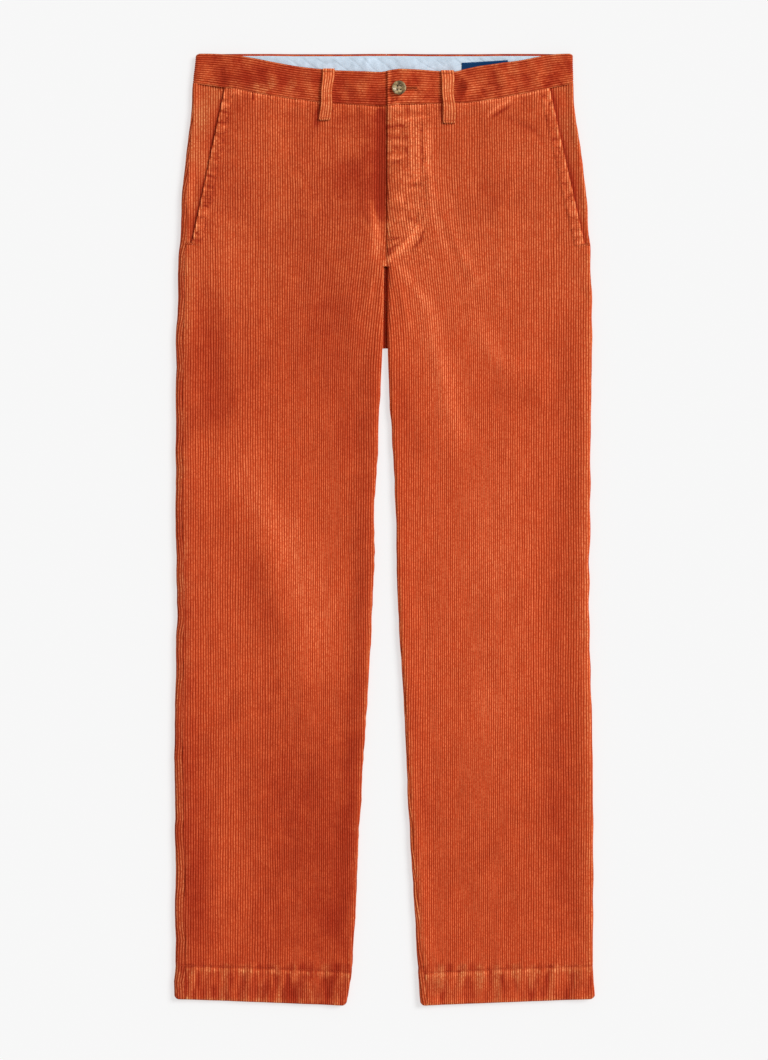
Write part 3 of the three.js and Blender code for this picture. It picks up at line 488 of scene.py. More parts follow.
# A mesh in metres from points in millimetres. Points that no triangle uses are dropped, and the
# triangles are turned round if the volume they enclose, a third of the sum of a . (b x c) / 2, is
# negative.
def makeMesh(name, points, triangles, values):
    used, triangles = np.unique(triangles, return_inverse=True)
    triangles = triangles.reshape(-1, 3)
    points = points[used]
    a, b, c = (points[triangles[:, i]] for i in range(3))
    if np.einsum("ij,ij->i", a, np.cross(b, c)).sum() < 0:
        triangles = triangles[:, ::-1]
    mesh = bpy.data.meshes.new(name)
    mesh.vertices.add(len(points))
    mesh.vertices.foreach_set("co", (points * 0.001).astype(np.float32).ravel())
    mesh.loops.add(triangles.size)
    mesh.loops.foreach_set("vertex_index", np.ascontiguousarray(triangles).ravel().astype(np.int32))
    mesh.polygons.add(len(triangles))
    mesh.polygons.foreach_set("loop_start", np.arange(0, triangles.size, 3, dtype=np.int32))
    mesh.update(calc_edges=True)
    mesh.validate()
    mesh.polygons.foreach_set("use_smooth", np.ones(len(mesh.polygons), bool))
    for key, value in values.items():
        value = np.asarray(value, np.float32)[used]
        kind = "FLOAT_VECTOR" if value.ndim == 2 else "FLOAT"
        layer = mesh.attributes.new(key, kind, "POINT")
        layer.data.foreach_set("vector" if value.ndim == 2 else "value", value.ravel())
    piece = bpy.data.objects.new(name, mesh)
    bpy.context.scene.collection.objects.link(piece)
    return piece


def finishPiece(piece, slot, material, *nodes):
    piece.data.materials.append(material)
    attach(piece, "root")
    if nodes:
        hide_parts(*nodes)
    return piece


def stacked(x, y, z):
    return np.stack(np.broadcast_arrays(x, y, z), -1)


# A wall's two faces and what its points carry, joined in the order that wallTriangles counts them
def joinFaces(outer, inner, values):
    points = np.concatenate([outer.reshape(-1, 3), inner.reshape(-1, 3)])
    joined = {}
    for key, (first, second) in values.items():
        shape = (-1, 3) if first.ndim == 3 else (-1,)
        joined[key] = np.concatenate([first.reshape(shape), second.reshape(shape)])
    return points, joined


# A socket that does sums: each operator adds a Math node
class Reading:
    def __init__(self, maker, socket):
        self.maker, self.socket = maker, socket

    def sum(self, operation, *others):
        values = {i: item for i, item in enumerate((self, *others))}
        return self.maker.add("ShaderNodeMath", {"operation": operation}, values).out("Value")

    def __add__(self, other): return self.sum("ADD", other)
    def __radd__(self, other): return self.sum("ADD", other)
    def __mul__(self, other): return self.sum("MULTIPLY", other)
    def __rmul__(self, other): return self.sum("MULTIPLY", other)
    def __sub__(self, other): return self.sum("SUBTRACT", other)
    def __truediv__(self, other): return self.sum("DIVIDE", other)
    def __pow__(self, other): return self.sum("POWER", other)

    def __rsub__(self, other):
        values = {0: other, 1: self}
        return self.maker.add("ShaderNodeMath", {"operation": "SUBTRACT"}, values).out("Value")

    # From 0 at low to 1 at high, smoothly
    def ramp(self, low, high, start=0.0, end=1.0):
        values = {"Value": self, "From Min": low, "From Max": high, "To Min": start, "To Max": end}
        return self.maker.add("ShaderNodeMapRange", {"interpolation_type": "SMOOTHSTEP"}, values).out("Result")


class Maker:
    def __init__(self, name):
        self.material = bpy.data.materials.new(name)
        self.material.use_nodes = True
        self.tree = self.material.node_tree
        self.tree.nodes.clear()

    # One node, its settings first and then the values or links of its sockets
    def add(self, kind, settings=None, values=None):
        node = self.tree.nodes.new(kind)
        for key, value in (settings or {}).items():
            setattr(node, key, value)
        for key, value in (values or {}).items():
            if isinstance(value, Reading):
                self.tree.links.new(value.socket, node.inputs[key])
            else:
                node.inputs[key].default_value = value
        return Made(self, node)

    def value(self, name):
        return self.add("ShaderNodeAttribute", {"attribute_name": name}).out("Fac")

    def vector(self, x, y, z=0.0):
        return self.add("ShaderNodeCombineXYZ", None, {"X": x, "Y": y, "Z": z}).out("Vector")

    def noise(self, vector, scale, detail=2.0, roughness=0.5):
        values = {"Vector": vector, "Scale": scale, "Detail": detail, "Roughness": roughness}
        return self.add("ShaderNodeTexNoise", None, values).out("Fac")

    def blend(self, factor, first, second, kind="MIX"):
        settings = {"data_type": "RGBA", "blend_type": kind, "clamp_factor": True}
        return self.add("ShaderNodeMix", settings, {0: factor, 6: first, 7: second}).out(2)

    # Colour times a number
    def dimmed(self, colour, number):
        values = {0: colour, "Scale": number}
        return self.add("ShaderNodeVectorMath", {"operation": "SCALE"}, values).out("Vector")

    def finish(self, colour, roughness, normal=None, fixed=None):
        values = {"Base Color": colour, "Roughness": roughness, **(fixed or {})}
        if normal is not None:
            values["Normal"] = normal
        shader = self.add("ShaderNodeBsdfPrincipled", None, values)
        self.add("ShaderNodeOutputMaterial", None, {"Surface": shader.out("BSDF")})
        return self.material

    def bump(self, height, strength, distance):
        values = {"Height": height, "Strength": strength, "Distance": distance}
        return self.add("ShaderNodeBump", None, values).out("Normal")


class Made:
    def __init__(self, maker, node):
        self.maker, self.node = maker, node

    def out(self, key):
        return Reading(self.maker, self.node.outputs[key])


# The body colour with a lighter and a deep, shaded copy for painted light and shade, the pale rubbed colour, and the
# factors of the painted groove shade and crest highlight
corduroyLook = {
    "body": (0.67, 0.085, 0.0235, 1),
    "light": (0.80, 0.155, 0.052, 1),
    "deep": (0.48, 0.030, 0.010, 1),
    "wearAndSheen": (0.65, 0.190, 0.060, 1),
    "grooveShade": (0.47, 0.20, 0.12, 1),
    "crestHighlight": (1.42, 2.65, 3.50, 1),
}


# Corduroy: the grain attribute counts wales across (x) and millimetres along (y). One attribute carries painted light
# and shade with a random variation, leaning the body's colour towards its lighter copy where positive and its deep,
# shaded copy where negative; another leans it towards the pale, rubbed colour, partly a painted sheen, and brightens
# the painted crest highlights. Crumple paints the light and shade of small folds of noise, with a painted dark crease
# where it crosses its middle. Over that the colour is multiplied by a painted shade in the grooves and a painted
# highlight on the crests, by the distance from the middle of the wale, which wanders and is broken up along each wale.
def makeCorduroy(name, look):
    maker = Maker(name)
    grain = maker.add("ShaderNodeAttribute", {"attribute_name": "grain"}).out("Vector")
    parts = maker.add("ShaderNodeSeparateXYZ", None, {0: grain})
    count, along = parts.out("X"), parts.out("Y")
    lightAndTone, wearAndHighlight = maker.value("lightAndTone"), maker.value("wearAndHighlight")
    place = maker.add("ShaderNodeTexCoord").out("Object")
    crumple = maker.value("crumple")
    squashed = maker.add("ShaderNodeVectorMath", {"operation": "MULTIPLY"}, {0: place, 1: (1.0, 1.5, 1.0)}).out("Vector")
    folds = maker.noise(squashed, 62.0, 2.0, 0.5)
    crease = 1.0 - (folds - 0.5).sum("ABSOLUTE").ramp(0.0, 0.03)
    lightAndTone = lightAndTone + crumple * ((folds - 0.5) * 3.2 - crease * 0.75 + 0.15)
    wander = (maker.noise(maker.vector(count * 0.8, along * 0.03), 1.0, 3.0, 0.6) - 0.5) * 0.55
    shifted = count + wander
    aside = (shifted.sum("FRACT") - 0.5).sum("ABSOLUTE") * 2.0
    number = shifted.sum("FLOOR")
    dash = maker.noise(maker.vector(number * 3.7, along * 0.05), 1.0, 3.0, 0.6)
    fleck = maker.noise(maker.vector(number * 5.3, along * 0.36), 1.0, 2.0, 0.65)
    blotch = maker.noise(place, 30.0, 3.0, 0.55)
    pile = maker.noise(place, 900.0, 2.0, 0.7)
    uneven = aside + (pile - 0.5) * 0.5 + (fleck - 0.5) * 0.4
    groove = uneven.ramp(0.46, 0.98) * (0.45 + dash)
    lit = (dash * 0.3 + fleck * 0.7).ramp(0.38, 0.62)
    crest = (1.0 - uneven.ramp(0.0, 0.62)) * lit * (0.95 + lightAndTone * 0.4 + wearAndHighlight * 0.3)
    colour = maker.blend(lightAndTone.ramp(0.0, 1.4) * 0.6, look["body"], look["light"])
    colour = maker.blend((lightAndTone * -1.0).ramp(0.0, 1.2) * 0.8, colour, look["deep"])
    shown = wearAndHighlight * (lightAndTone * -1.0).ramp(0.0, 1.0, 1.0, 0.25)
    colour = maker.blend(shown * (0.25 + 0.6 * fleck) * (0.4 + 1.1 * blotch), colour, look["wearAndSheen"])
    colour = maker.blend(groove * 0.95, colour, look["grooveShade"], "MULTIPLY")
    colour = maker.blend(crest, colour, look["crestHighlight"], "MULTIPLY")
    light = 1.0 + lightAndTone * 0.19 + (blotch - 0.5) * 0.10 + (pile - 0.5) * 0.38 + (fleck - 0.5) * 0.35
    colour = maker.dimmed(colour, light)
    normal = maker.bump(pile * 0.6 + fleck * 0.4 + crumple * (folds * 4.0 - crease * 0.6), 0.6, 0.0008)
    fixed = {"Sheen Weight": 0.08, "Sheen Roughness": 0.4, "Sheen Tint": (1.0, 0.45, 0.22, 1),
             "Specular IOR Level": 0.06}
    return maker.finish(colour, 0.86 + pile * 0.1, normal, fixed)


# Shirting: warp and weft as two sines of the place, with paler slubs
def makeShirting(name):
    maker = Maker(name)
    place = maker.add("ShaderNodeTexCoord").out("Object")
    parts = maker.add("ShaderNodeSeparateXYZ", None, {0: place})
    warp = (parts.out("X") * (2 * math.pi / 0.0009)).sum("SINE")
    weft = (parts.out("Y") * (2 * math.pi / 0.0009)).sum("SINE")
    weave = warp * weft * 0.5 + 0.5
    slub = maker.noise(place, 700.0, 2.0, 0.6)
    soft = maker.noise(place, 40.0, 3.0, 0.5)
    colour = maker.blend(weave * 0.5 + (slub - 0.5) * 0.5 + 0.25, (0.46, 0.60, 0.76, 1), (0.80, 0.88, 0.95, 1))
    # Dimmed and lifted by the painted light and shade of its wrinkles and a soft random variation
    colour = maker.dimmed(colour, 0.88 + soft * 0.24 + maker.value("lightAndTone") * 0.6)
    normal = maker.bump(weave + slub * 0.5, 0.35, 0.0003)
    return maker.finish(colour, 0.85, normal, {"Sheen Weight": 0.1, "Specular IOR Level": 0.2})


# Damask label: fine crossing threads, and a denser border near the edge given by the edge attribute
def makeLabelCloth(name):
    maker = Maker(name)
    place = maker.add("ShaderNodeTexCoord").out("Object")
    parts = maker.add("ShaderNodeSeparateXYZ", None, {0: place})
    across = (parts.out("X") * (2 * math.pi / 0.0006)).sum("SINE")
    down = (parts.out("Y") * (2 * math.pi / 0.0010)).sum("SINE")
    weave = across * 0.25 + down * 0.25 + 0.5
    fuzz = maker.noise(place, 1200.0, 2.0, 0.6)
    edge = maker.value("edge")
    colour = maker.blend(weave * 0.7 + fuzz * 0.3, (0.003, 0.027, 0.088, 1), (0.006, 0.052, 0.165, 1))
    colour = maker.blend(edge * 0.3, colour, (0.01, 0.09, 0.24, 1))
    normal = maker.bump(weave + fuzz * 0.4, 0.4, 0.0003)
    return maker.finish(colour, 0.75, normal, {"Specular IOR Level": 0.1})


# Horn: cloudy brown and cream from a noise, with fine dark threads from a finer one
def makeHorn(name):
    maker = Maker(name)
    place = maker.add("ShaderNodeTexCoord").out("Object")
    cloud = maker.noise(place, 170.0, 4.0, 0.6)
    vein = maker.noise(place, 620.0, 4.0, 0.65)
    ramp = maker.add("ShaderNodeValToRGB", None, {"Fac": cloud * 0.75 + vein * 0.35 - 0.05})
    stops = ramp.node.color_ramp
    stops.elements[0].position, stops.elements[0].color = 0.38, (0.045, 0.026, 0.012, 1)
    stops.elements[1].position, stops.elements[1].color = 0.68, (0.74, 0.61, 0.33, 1)
    middle = stops.elements.new(0.5)
    middle.color = (0.28, 0.18, 0.070, 1)
    # The pits of the four holes are painted near black, as shade in the holes
    pit = maker.value("pit")
    colour = maker.blend(pit, ramp.out("Color"), (0.015, 0.008, 0.004, 1))
    normal = maker.bump(vein, 0.06, 0.0003)
    return maker.finish(colour, 0.24 + 0.2 * vein, normal, {"Coat Weight": 0.2, "Coat Roughness": 0.15})


# Sewing thread: two plies as a slanting sine along each stitch
def makeThread(name, dark, light):
    maker = Maker(name)
    grain = maker.add("ShaderNodeAttribute", {"attribute_name": "grain"}).out("Vector")
    parts = maker.add("ShaderNodeSeparateXYZ", None, {0: grain})
    twist = ((parts.out("X") + parts.out("Y") * 1.6) * (2 * math.pi)).sum("SINE") * 0.5 + 0.5
    place = maker.add("ShaderNodeTexCoord").out("Object")
    fuzz = maker.noise(place, 1500.0, 2.0, 0.6)
    colour = maker.blend(twist * 0.6 + fuzz * 0.4, dark, light)
    normal = maker.bump(twist, 0.5, 0.0002)
    return maker.finish(colour, 0.9, normal, {"Specular IOR Level": 0.05})


corduroy = makeCorduroy("rust corduroy", corduroyLook)
shirting = makeShirting("light blue shirting")
labelCloth = makeLabelCloth("plain navy label cloth")
horn = makeHorn("horn button")
rustThread = makeThread("rust thread", (0.44, 0.048, 0.013, 1), (0.84, 0.175, 0.060, 1))
tanThread = makeThread("tan thread", (0.34, 0.20, 0.10, 1), (0.78, 0.60, 0.40, 1))
print("trousers: materials made")


frontSettings = {
    "mouthStitch": 11.0,  # from the pocket mouth
    "dent": 0.6,  # of a row of stitches
    "dentWidth": 1.5,
    "floor": 3.4,  # the front's outer face stays this high above what it lies on
    "flyEdge": 3.2,  # where the right front's folded edge lies
    "flyEnd": 303.0,
}


def mouthX(side, y):
    (topX, topY), (endX, endY) = pockets[side]["top"], pockets[side]["end"]
    return topX + (endX - topX) * (topY - y) / (topY - endY)


# How the fronts lap at the fly: the left one dips under, and the right one stands up on its facing
def flyLift(side, x, y):
    upper = smooth((y - 297) / 12)
    if side == "left":
        return -1.9 * smooth((x - garment["centreX"] + 26) / 24) * upper
    rise = 0.4 + 0.5 * smooth((y - 380) / 100)
    return rise * plateau(x - garment["centreX"], 34, 10) * upper


# Distance in from the pocket mouth, and along it from its top
def fromPocketMouth(side, x, y):
    (topX, topY), (endX, endY) = pockets[side]["top"], pockets[side]["end"]
    slant = math.hypot(topX - endX, topY - endY)
    across = ((x - topX) * (topY - endY) - (endX - topX) * (topY - y)) / slant * way[side]
    along = ((endX - topX) * (x - topX) + (topY - endY) * (topY - y)) / slant
    return across, along


# Puckers between the pocket mouth and its stitches: humps along the mouth parted by narrow creases
def mouthPucker(side, x, y):
    across, along = fromPocketMouth(side, x, y)
    above = smooth((y - pockets[side]["end"][1] + 3) / 4)
    seed = 61 if side == "left" else 64
    humps = ripple(along, 0.25 * across, 8.5, seed, 7)
    creased = crinkle(along, 0.6 * across, 17, seed + 1)
    return plateau(across - 5.5, 4.6, 4.5) * above, humps, creased


# Puckers of a hem: upright ones that stand closer at its row of stitches
def hemPucker(x, y):
    below = smooth((-487 - y) / 5)
    return below, 0.7 * ripple(x, y, 19, 13, stretch=4.5) + 0.5 * ripple(x, y, 8, 17, stretch=4.0)


# Everything on a front that the smooth form lacks: creases, rows of stitches sunk in it and the
# puckers beside them, each a sum of strokes and ripples
def frontRelief(side, x, y):
    found = np.zeros(x.shape)
    for line, width, height in creases:
        found += stroke(x, y, line, width, height)
    dent, dentWidth = frontSettings["dent"], frontSettings["dentWidth"]
    across, along = fromPocketMouth(side, x, y)
    above = smooth((y - pockets[side]["end"][1] + 3) / 4)
    inBand, humps, creased = mouthPucker(side, x, y)
    found += inBand * (0.28 * humps + 0.3 - 0.25 * creased)
    found -= dent * np.exp(-(((across - frontSettings["mouthStitch"]) / dentWidth) ** 2)) * above * (0.6 + 0.5 * humps)
    found -= 0.25 * np.exp(-((across / 0.9) ** 2)) * above
    if side == "right":
        for line in flyRows:
            found -= stroke(x, y, line, dentWidth, 0.45, 0.0) * (0.7 + 0.5 * ripple(x, y, 14, 23))
        inFly = plateau(x - 24, 20, 9) * smooth((y - 305) / 12)
        found += inFly * (0.16 * ripple(x, y, 14, 12, stretch=0.6) - 0.2 * crinkle(x, y, 30, 24, 0.5) + 0.1)
        found += 0.7 * stroke(x, y, flyFoot, 4.0, 1.0, 0.3)
    found -= stroke(x, y, hemRows[side], dentWidth, 0.35, 0.0) * (0.8 + 0.3 * ripple(x, y, 12, 29))
    below, puckers = hemPucker(x, y)
    found += below * 0.30 * puckers
    found += np.exp(-(((y + 484) / 9) ** 2)) * 0.16 * ripple(x, y, 9, 14, stretch=2)
    seamY = garment["waistY"] - frontSagSeam(x)
    nearWaist = np.exp(-(((seamY - y) / 18) ** 2))
    found += nearWaist * (0.2 * ripple(x, y, 12, 15, stretch=2.6) - 0.2 * crinkle(x, y, 22, 28, 2.0))
    found += 0.2 * ripple(x, y, 34, 16, stretch=2.0) + 0.06 * ripple(x, y, 11, 18, stretch=1.6)
    return found


# The painted light and shade that go with it: puckers catch the light, the mouth's rolled edge, the fly's foot and the
# cloth under the waistband and under the hem's stitches are painted lighter, and rows of stitches, seams and the lines
# round the fly's foot are painted darker
def frontLightAndTone(side, x, y):
    found = paintedLightAt(x, y)
    across, along = fromPocketMouth(side, x, y)
    above = smooth((y - pockets[side]["end"][1] + 3) / 4)
    inBand, humps, creased = mouthPucker(side, x, y)
    found += inBand * (0.25 + 0.4 * humps - 0.45 * creased)
    found -= 0.6 * np.exp(-(((across - frontSettings["mouthStitch"]) / 1.3) ** 2)) * above * (0.6 + 0.7 * humps)
    found += (0.9 + 0.5 * humps) * np.exp(-(((across - 1.6) / 1.2) ** 2)) * above
    if side == "right":
        for line in flyRows:
            found += stroke(x, y, line, 1.4, -0.5, 0.0) * (0.8 + 0.8 * ripple(x, y, 11, 23))
        found += stroke(x, y, flyFoot, 5.0, 1.5, 0.3)
        for line, width in flyFootEdges:
            found += stroke(x, y, line, width, -1.3, 0.4)
    found += stroke(x, y, hemRows[side], 1.1, -0.6, 0.0) * (0.8 + 0.4 * ripple(x, y, 12, 29))
    found += stroke(x, y + 3.2, hemRows[side], 1.8, 0.8, 0.0) * (0.6 + 0.6 * ripple(x, 0.4 * y, 7, 37))
    below, puckers = hemPucker(x, y)
    found += below * (0.4 * puckers - 0.2)
    found += np.exp(-(((y + 504) / 7) ** 2)) * 0.25 * (0.4 + ripple(x, y, 10, 27, stretch=4))
    found += np.exp(-(((y + 530) / 3.0) ** 2)) * 0.3
    seamY = garment["waistY"] - frontSagSeam(x)
    found += np.exp(-(((seamY - y - 5) / 6) ** 2)) * (0.3 + 0.4 * ripple(x, y, 16, 19, stretch=3))
    return found + 0.9 * np.exp(-(((seamY - y - 1.6) / 1.3) ** 2))


# Where a front is crumpled: beside its pocket mouth, on the fly, under the waistband and at the hem
def frontCrumple(side, x, y):
    found = 0.9 * mouthPucker(side, x, y)[0] + 0.1 * smooth((-488 - y) / 5)
    seamY = garment["waistY"] - frontSagSeam(x)
    found = np.maximum(found, 0.6 * np.exp(-(((seamY - y) / 16) ** 2)))
    if side == "right":
        found = np.maximum(found, 0.7 * plateau(x - 26, 22, 14) * smooth((y - 290) / 14))
    return np.maximum(found, 0.16 + 0.1 * smooth((y - 200) / 200))


def frontRows(side):
    top = garment["waistY"] - float(frontSagSeam(curveAt(sideLine[side], 500.0))) - garment["seamGap"]
    mouthEnd = pockets[side]["end"][1]
    parts = [np.linspace(top, mouthEnd + 0.6, 88), [mouthEnd + 0.2, mouthEnd - 0.2, mouthEnd - 1.5],
             np.linspace(mouthEnd - 4, 298, 14), [296.3, 295.7, 293, 289, 284], np.linspace(278, -470, 102),
             np.linspace(-474, -484, 5), np.linspace(-485.5, -496, 10), np.linspace(-499, -526, 10),
             [-527.2, -528.1, -528.7, -529]]
    return np.concatenate(parts)


def makeFront(side):
    nominal = frontRows(side)
    leg = Leg(side, nominal, frontSagSeam, garment["crotchY"])
    mouth = mouthX(side, leg.rowY(mouthX(side, nominal)))
    low = np.where(nominal > pockets[side]["end"][1], leg.tAt(mouth), leg.outerSeam)
    onFly = nominal > frontSettings["flyEnd"]
    edges = {"left": (garment["centreX"] + 8, 1.7), "right": (frontSettings["flyEdge"], 1.9)}
    centreEdge = leg.tAt(np.where(onFly, *edges[side]))
    high = np.where(leg.closed, leg.innerSeam, centreEdge)
    first = leg.tAt(-leg.way * garment["reach"])
    fraction, step = cloth["pitch"] / cloth["across"], 8
    tOuter, outerColumns, tInner, innerColumns = panelColumns(first, low, high, fraction, step, leg.warp)

    def face(t, isOuter):
        x, y, z, outX, outZ = leg.at(t)
        relief = frontRelief(side, x, y)
        fromHem = nominal[:, None] + 529
        relief = relief * smooth(outZ / 0.7)
        seams = 0.22 * (np.exp(-((t - leg.outerSeam[:, None]) / 1.5) ** 2) * (nominal < 320)[:, None]
                        + np.exp(-((high[:, None] - t) / 1.5) ** 2) * leg.closed[:, None])
        seams += 0.1 * np.exp(-((garment["waistY"] - frontSagSeam(x) - y) / 1.6) ** 2)
        if side == "right":
            seams += 0.5 * np.exp(-((high[:, None] - t) / 1.2) ** 2) * (~leg.closed)[:, None]
        lift = flyLift(side, x, y) * (~leg.closed)[:, None] + relief - seams
        base = z + lift
        least = bed(x, y) + frontSettings["floor"]
        held = least + 0.35 * np.logaddexp(0, (base - least) / 0.35)
        base = np.where(outZ > 0.9, held, base)
        roll = edgeRoll(fromHem, 1.25)
        count = (t - first[:, None] - leg.warp(t)) / cloth["pitch"]
        hemmed = smooth((garment["hemTop"] - nominal) / 1.5)[:, None]
        wall = cloth["wall"] + (cloth["hemWall"] - cloth["wall"]) * hemmed
        ribs = waleRise(count) * cloth["rise"] * smooth(fromHem / 1.5)
        out = ribs - roll if isOuter else roll - wall
        points = stacked(x + outX * out, y, base + outZ * out)
        fromLow, fromHigh = t - low[:, None], high[:, None] - t
        paintedLightAndTone = frontLightAndTone(side, x, y)
        # Painted a little darker along the outer seam; by the slot between the legs the left front's edge is painted
        # lighter, as a highlight, and the right front's darker, as shade
        paintedLightAndTone = paintedLightAndTone - 0.25 * np.exp(-((fromLow / 0.9) ** 2)) * (nominal < 320)[:, None]
        slot = smooth((310 - y) / 14) * smooth((y - 190) / 40)
        paintedLightAndTone = paintedLightAndTone + (1.5 if side == "left" else -0.3) * slot * np.exp(-(((fromHigh - 1.5) / 1.6) ** 2))
        # Its edges at the pocket mouth, the inseam and the fly are paler: rubbed, and partly a painted highlight on
        # their rolled folds
        edge = np.exp(-(((fromLow - 2.4) / 1.4) ** 2)) * (nominal > 320)[:, None] + np.exp(-(((fromHigh - 2.4) / 1.8) ** 2))
        wearAndSheen = 0.5 * edge * (0.7 + 0.4 * ripple(x, y, 14, 20)) + 0.6 * np.exp(-((fromHem / 2.5) ** 2))
        outside = (0.5 if side == "left" else 0.35) * np.exp(-((fromLow / 8) ** 2)) * (nominal < 310)[:, None]
        wearAndSheen = wearAndSheen + outside * (0.8 + 0.3 * ripple(x, y, 20, 30, stretch=2))
        # More towards the hips, which brightens the painted highlights on the wale crests there
        wearAndSheen = wearAndSheen + 0.2 * smooth((y - 150) / 200)
        if side == "right":
            wearAndSheen = wearAndSheen + 0.16 * plateau(x - 25, 20, 12) * smooth((y - 300) / 16)
        frayed = stroke(x, y + 5.0, hemRows[side], 4.0, 1.0, 0.0) * np.clip(0.4 + 0.7 * ripple(x, 0.3 * y, 6, 38), 0, 1.4)
        wearAndSheen = wearAndSheen + 0.5 * frayed
        paintedLightAndTone = paintedLightAndTone + 0.4 * frayed
        wearAndSheen = wearAndSheen + 0.65 * smooth((-487 - y) / 5) * np.clip(0.25 + 0.6 * ripple(x, y, 18, 33, stretch=3.5), 0, 1)
        carried = {"grain": stacked(count, y, 0 * y), "lightAndTone": paintedLightAndTone, "wearAndHighlight": wearAndSheen, "crumple": frontCrumple(side, x, y)}
        return points, carried, base

    outer, above, base = face(tOuter, True)
    inner, below, _ = face(tInner, False)
    points, values = joinFaces(outer, inner, {key: (above[key], below[key]) for key in above})
    triangles = wallTriangles(outerColumns, innerColumns, step)
    piece = makeMesh("front_panel_" + side, points, triangles, values)
    finishPiece(piece, "corduroy", corduroy, "front_" + side)
    surface = np.stack([outer[..., 0], outer[..., 1], base], -1).reshape(-1, 3)
    return piece, surface


def makeBack(side):
    top = garment["waistY"] - float(backSag(curveAt(sideLine[side], 500.0))) - garment["seamGap"]
    nominal = np.concatenate([np.linspace(top, 210, 46), [206, 204.2, 203.8, 201, 196], np.linspace(190, -470, 88),
                              [-476, -482, -485.5, -487, -492, -500, -510, -520], [-526, -527.5, -528.5, -529]])
    leg = Leg(side, nominal, backSag, garment["seatY"])
    around = 2 * leg.half
    centre = around - leg.tAt(garment["centreX"] + leg.way * 0.2)
    low = np.where(leg.closed, leg.innerSeam + 0.05, centre)
    high = around + leg.outerSeam - 0.05
    first = around - leg.tAt(leg.way * garment["reach"])
    fraction, step = cloth["pitch"] / cloth["across"], 8
    tOuter, outerColumns, tInner, innerColumns = panelColumns(first, low, high, fraction, step)

    def face(t, isOuter):
        x, y, z, outX, outZ = leg.at(t)
        count = (t - first[:, None]) / cloth["pitch"]
        fromHem = nominal[:, None] + 529
        roll = edgeRoll(fromHem, 1.25)
        under = smooth((0.1 - outZ) / 0.6)
        ribs = (waleRise(count) - under) * cloth["rise"]
        seams = 0.25 * (np.exp(-((t - low[:, None]) / 1.5) ** 2) + np.exp(-((high[:, None] - t) / 1.5) ** 2))
        hemmed = smooth((garment["hemTop"] - nominal) / 1.5)[:, None]
        wall = cloth["wall"] + 0.2 + (cloth["hemWall"] - cloth["wall"]) * hemmed
        topStitch = np.exp(-((y + 493) / 1.5) ** 2) * 0.4
        out = ribs - roll - seams - topStitch if isOuter else roll - wall
        points = stacked(x + outX * out, y, z + outZ * out)
        seen = smooth((outZ + 0.2) / 0.6)
        # The strips of a back seen round the side folds are painted darker, the left one more, as shade, with a faint
        # random variation
        paintedLightAndTone = seen * (-0.65 if side == "left" else -0.15) + 0.10 * ripple(x, y, 46, 25, stretch=2.4) + 0.08 * ripple(x, y, 20, 26, stretch=3)
        strip = (1.25 if side == "left" else 0.4) * (0.85 + 0.3 * ripple(x, y, 18, 35, stretch=2))
        edge = np.exp(-(((t - low[:, None]) / 2.2) ** 2))
        wearAndSheen = seen * strip + 0.3 * edge + 0.6 * np.exp(-((fromHem / 2.5) ** 2))
        paintedLightAndTone = paintedLightAndTone - 0.25 * np.exp(-(((high[:, None] - t) / 0.9) ** 2)) - 0.2 * seen * smooth((-420 - y) / 60)
        # Its inner face is painted darker by the slot between the legs, as shade there
        if not isOuter:
            paintedLightAndTone = paintedLightAndTone - 1.0 * plateau(x - garment["centreX"], 9, 6) * plateau(y - 250, 70, 20)
        paintedLightAndTone = paintedLightAndTone + seen * (hemPucker(t, y)[0] * 0.4 * hemPucker(t * 2, y)[1] - 1.0 * topStitch)
        return points, stacked(count, y, 0 * y), paintedLightAndTone, wearAndSheen

    outer, outerGrain, outerLightAndTone, outerWearAndHighlight = face(tOuter, True)
    inner, innerGrain, innerLightAndTone, innerWearAndHighlight = face(tInner, False)
    values = {"grain": (outerGrain, innerGrain), "lightAndTone": (outerLightAndTone, innerLightAndTone), "wearAndHighlight": (outerWearAndHighlight, innerWearAndHighlight)}
    points, values = joinFaces(outer, inner, values)
    piece = makeMesh("back_panel_" + side, points, wallTriangles(outerColumns, innerColumns, step), values)
    finishPiece(piece, "corduroy", corduroy, "back_" + side)
    return piece


backs = {side: makeBack(side) for side in ("left", "right")}
print("trousers: backs made")
fronts = {side: makeFront(side) for side in ("left", "right")}
print("trousers: fronts made")


facingSettings = {"under": 22.0, "drop": 2.2}


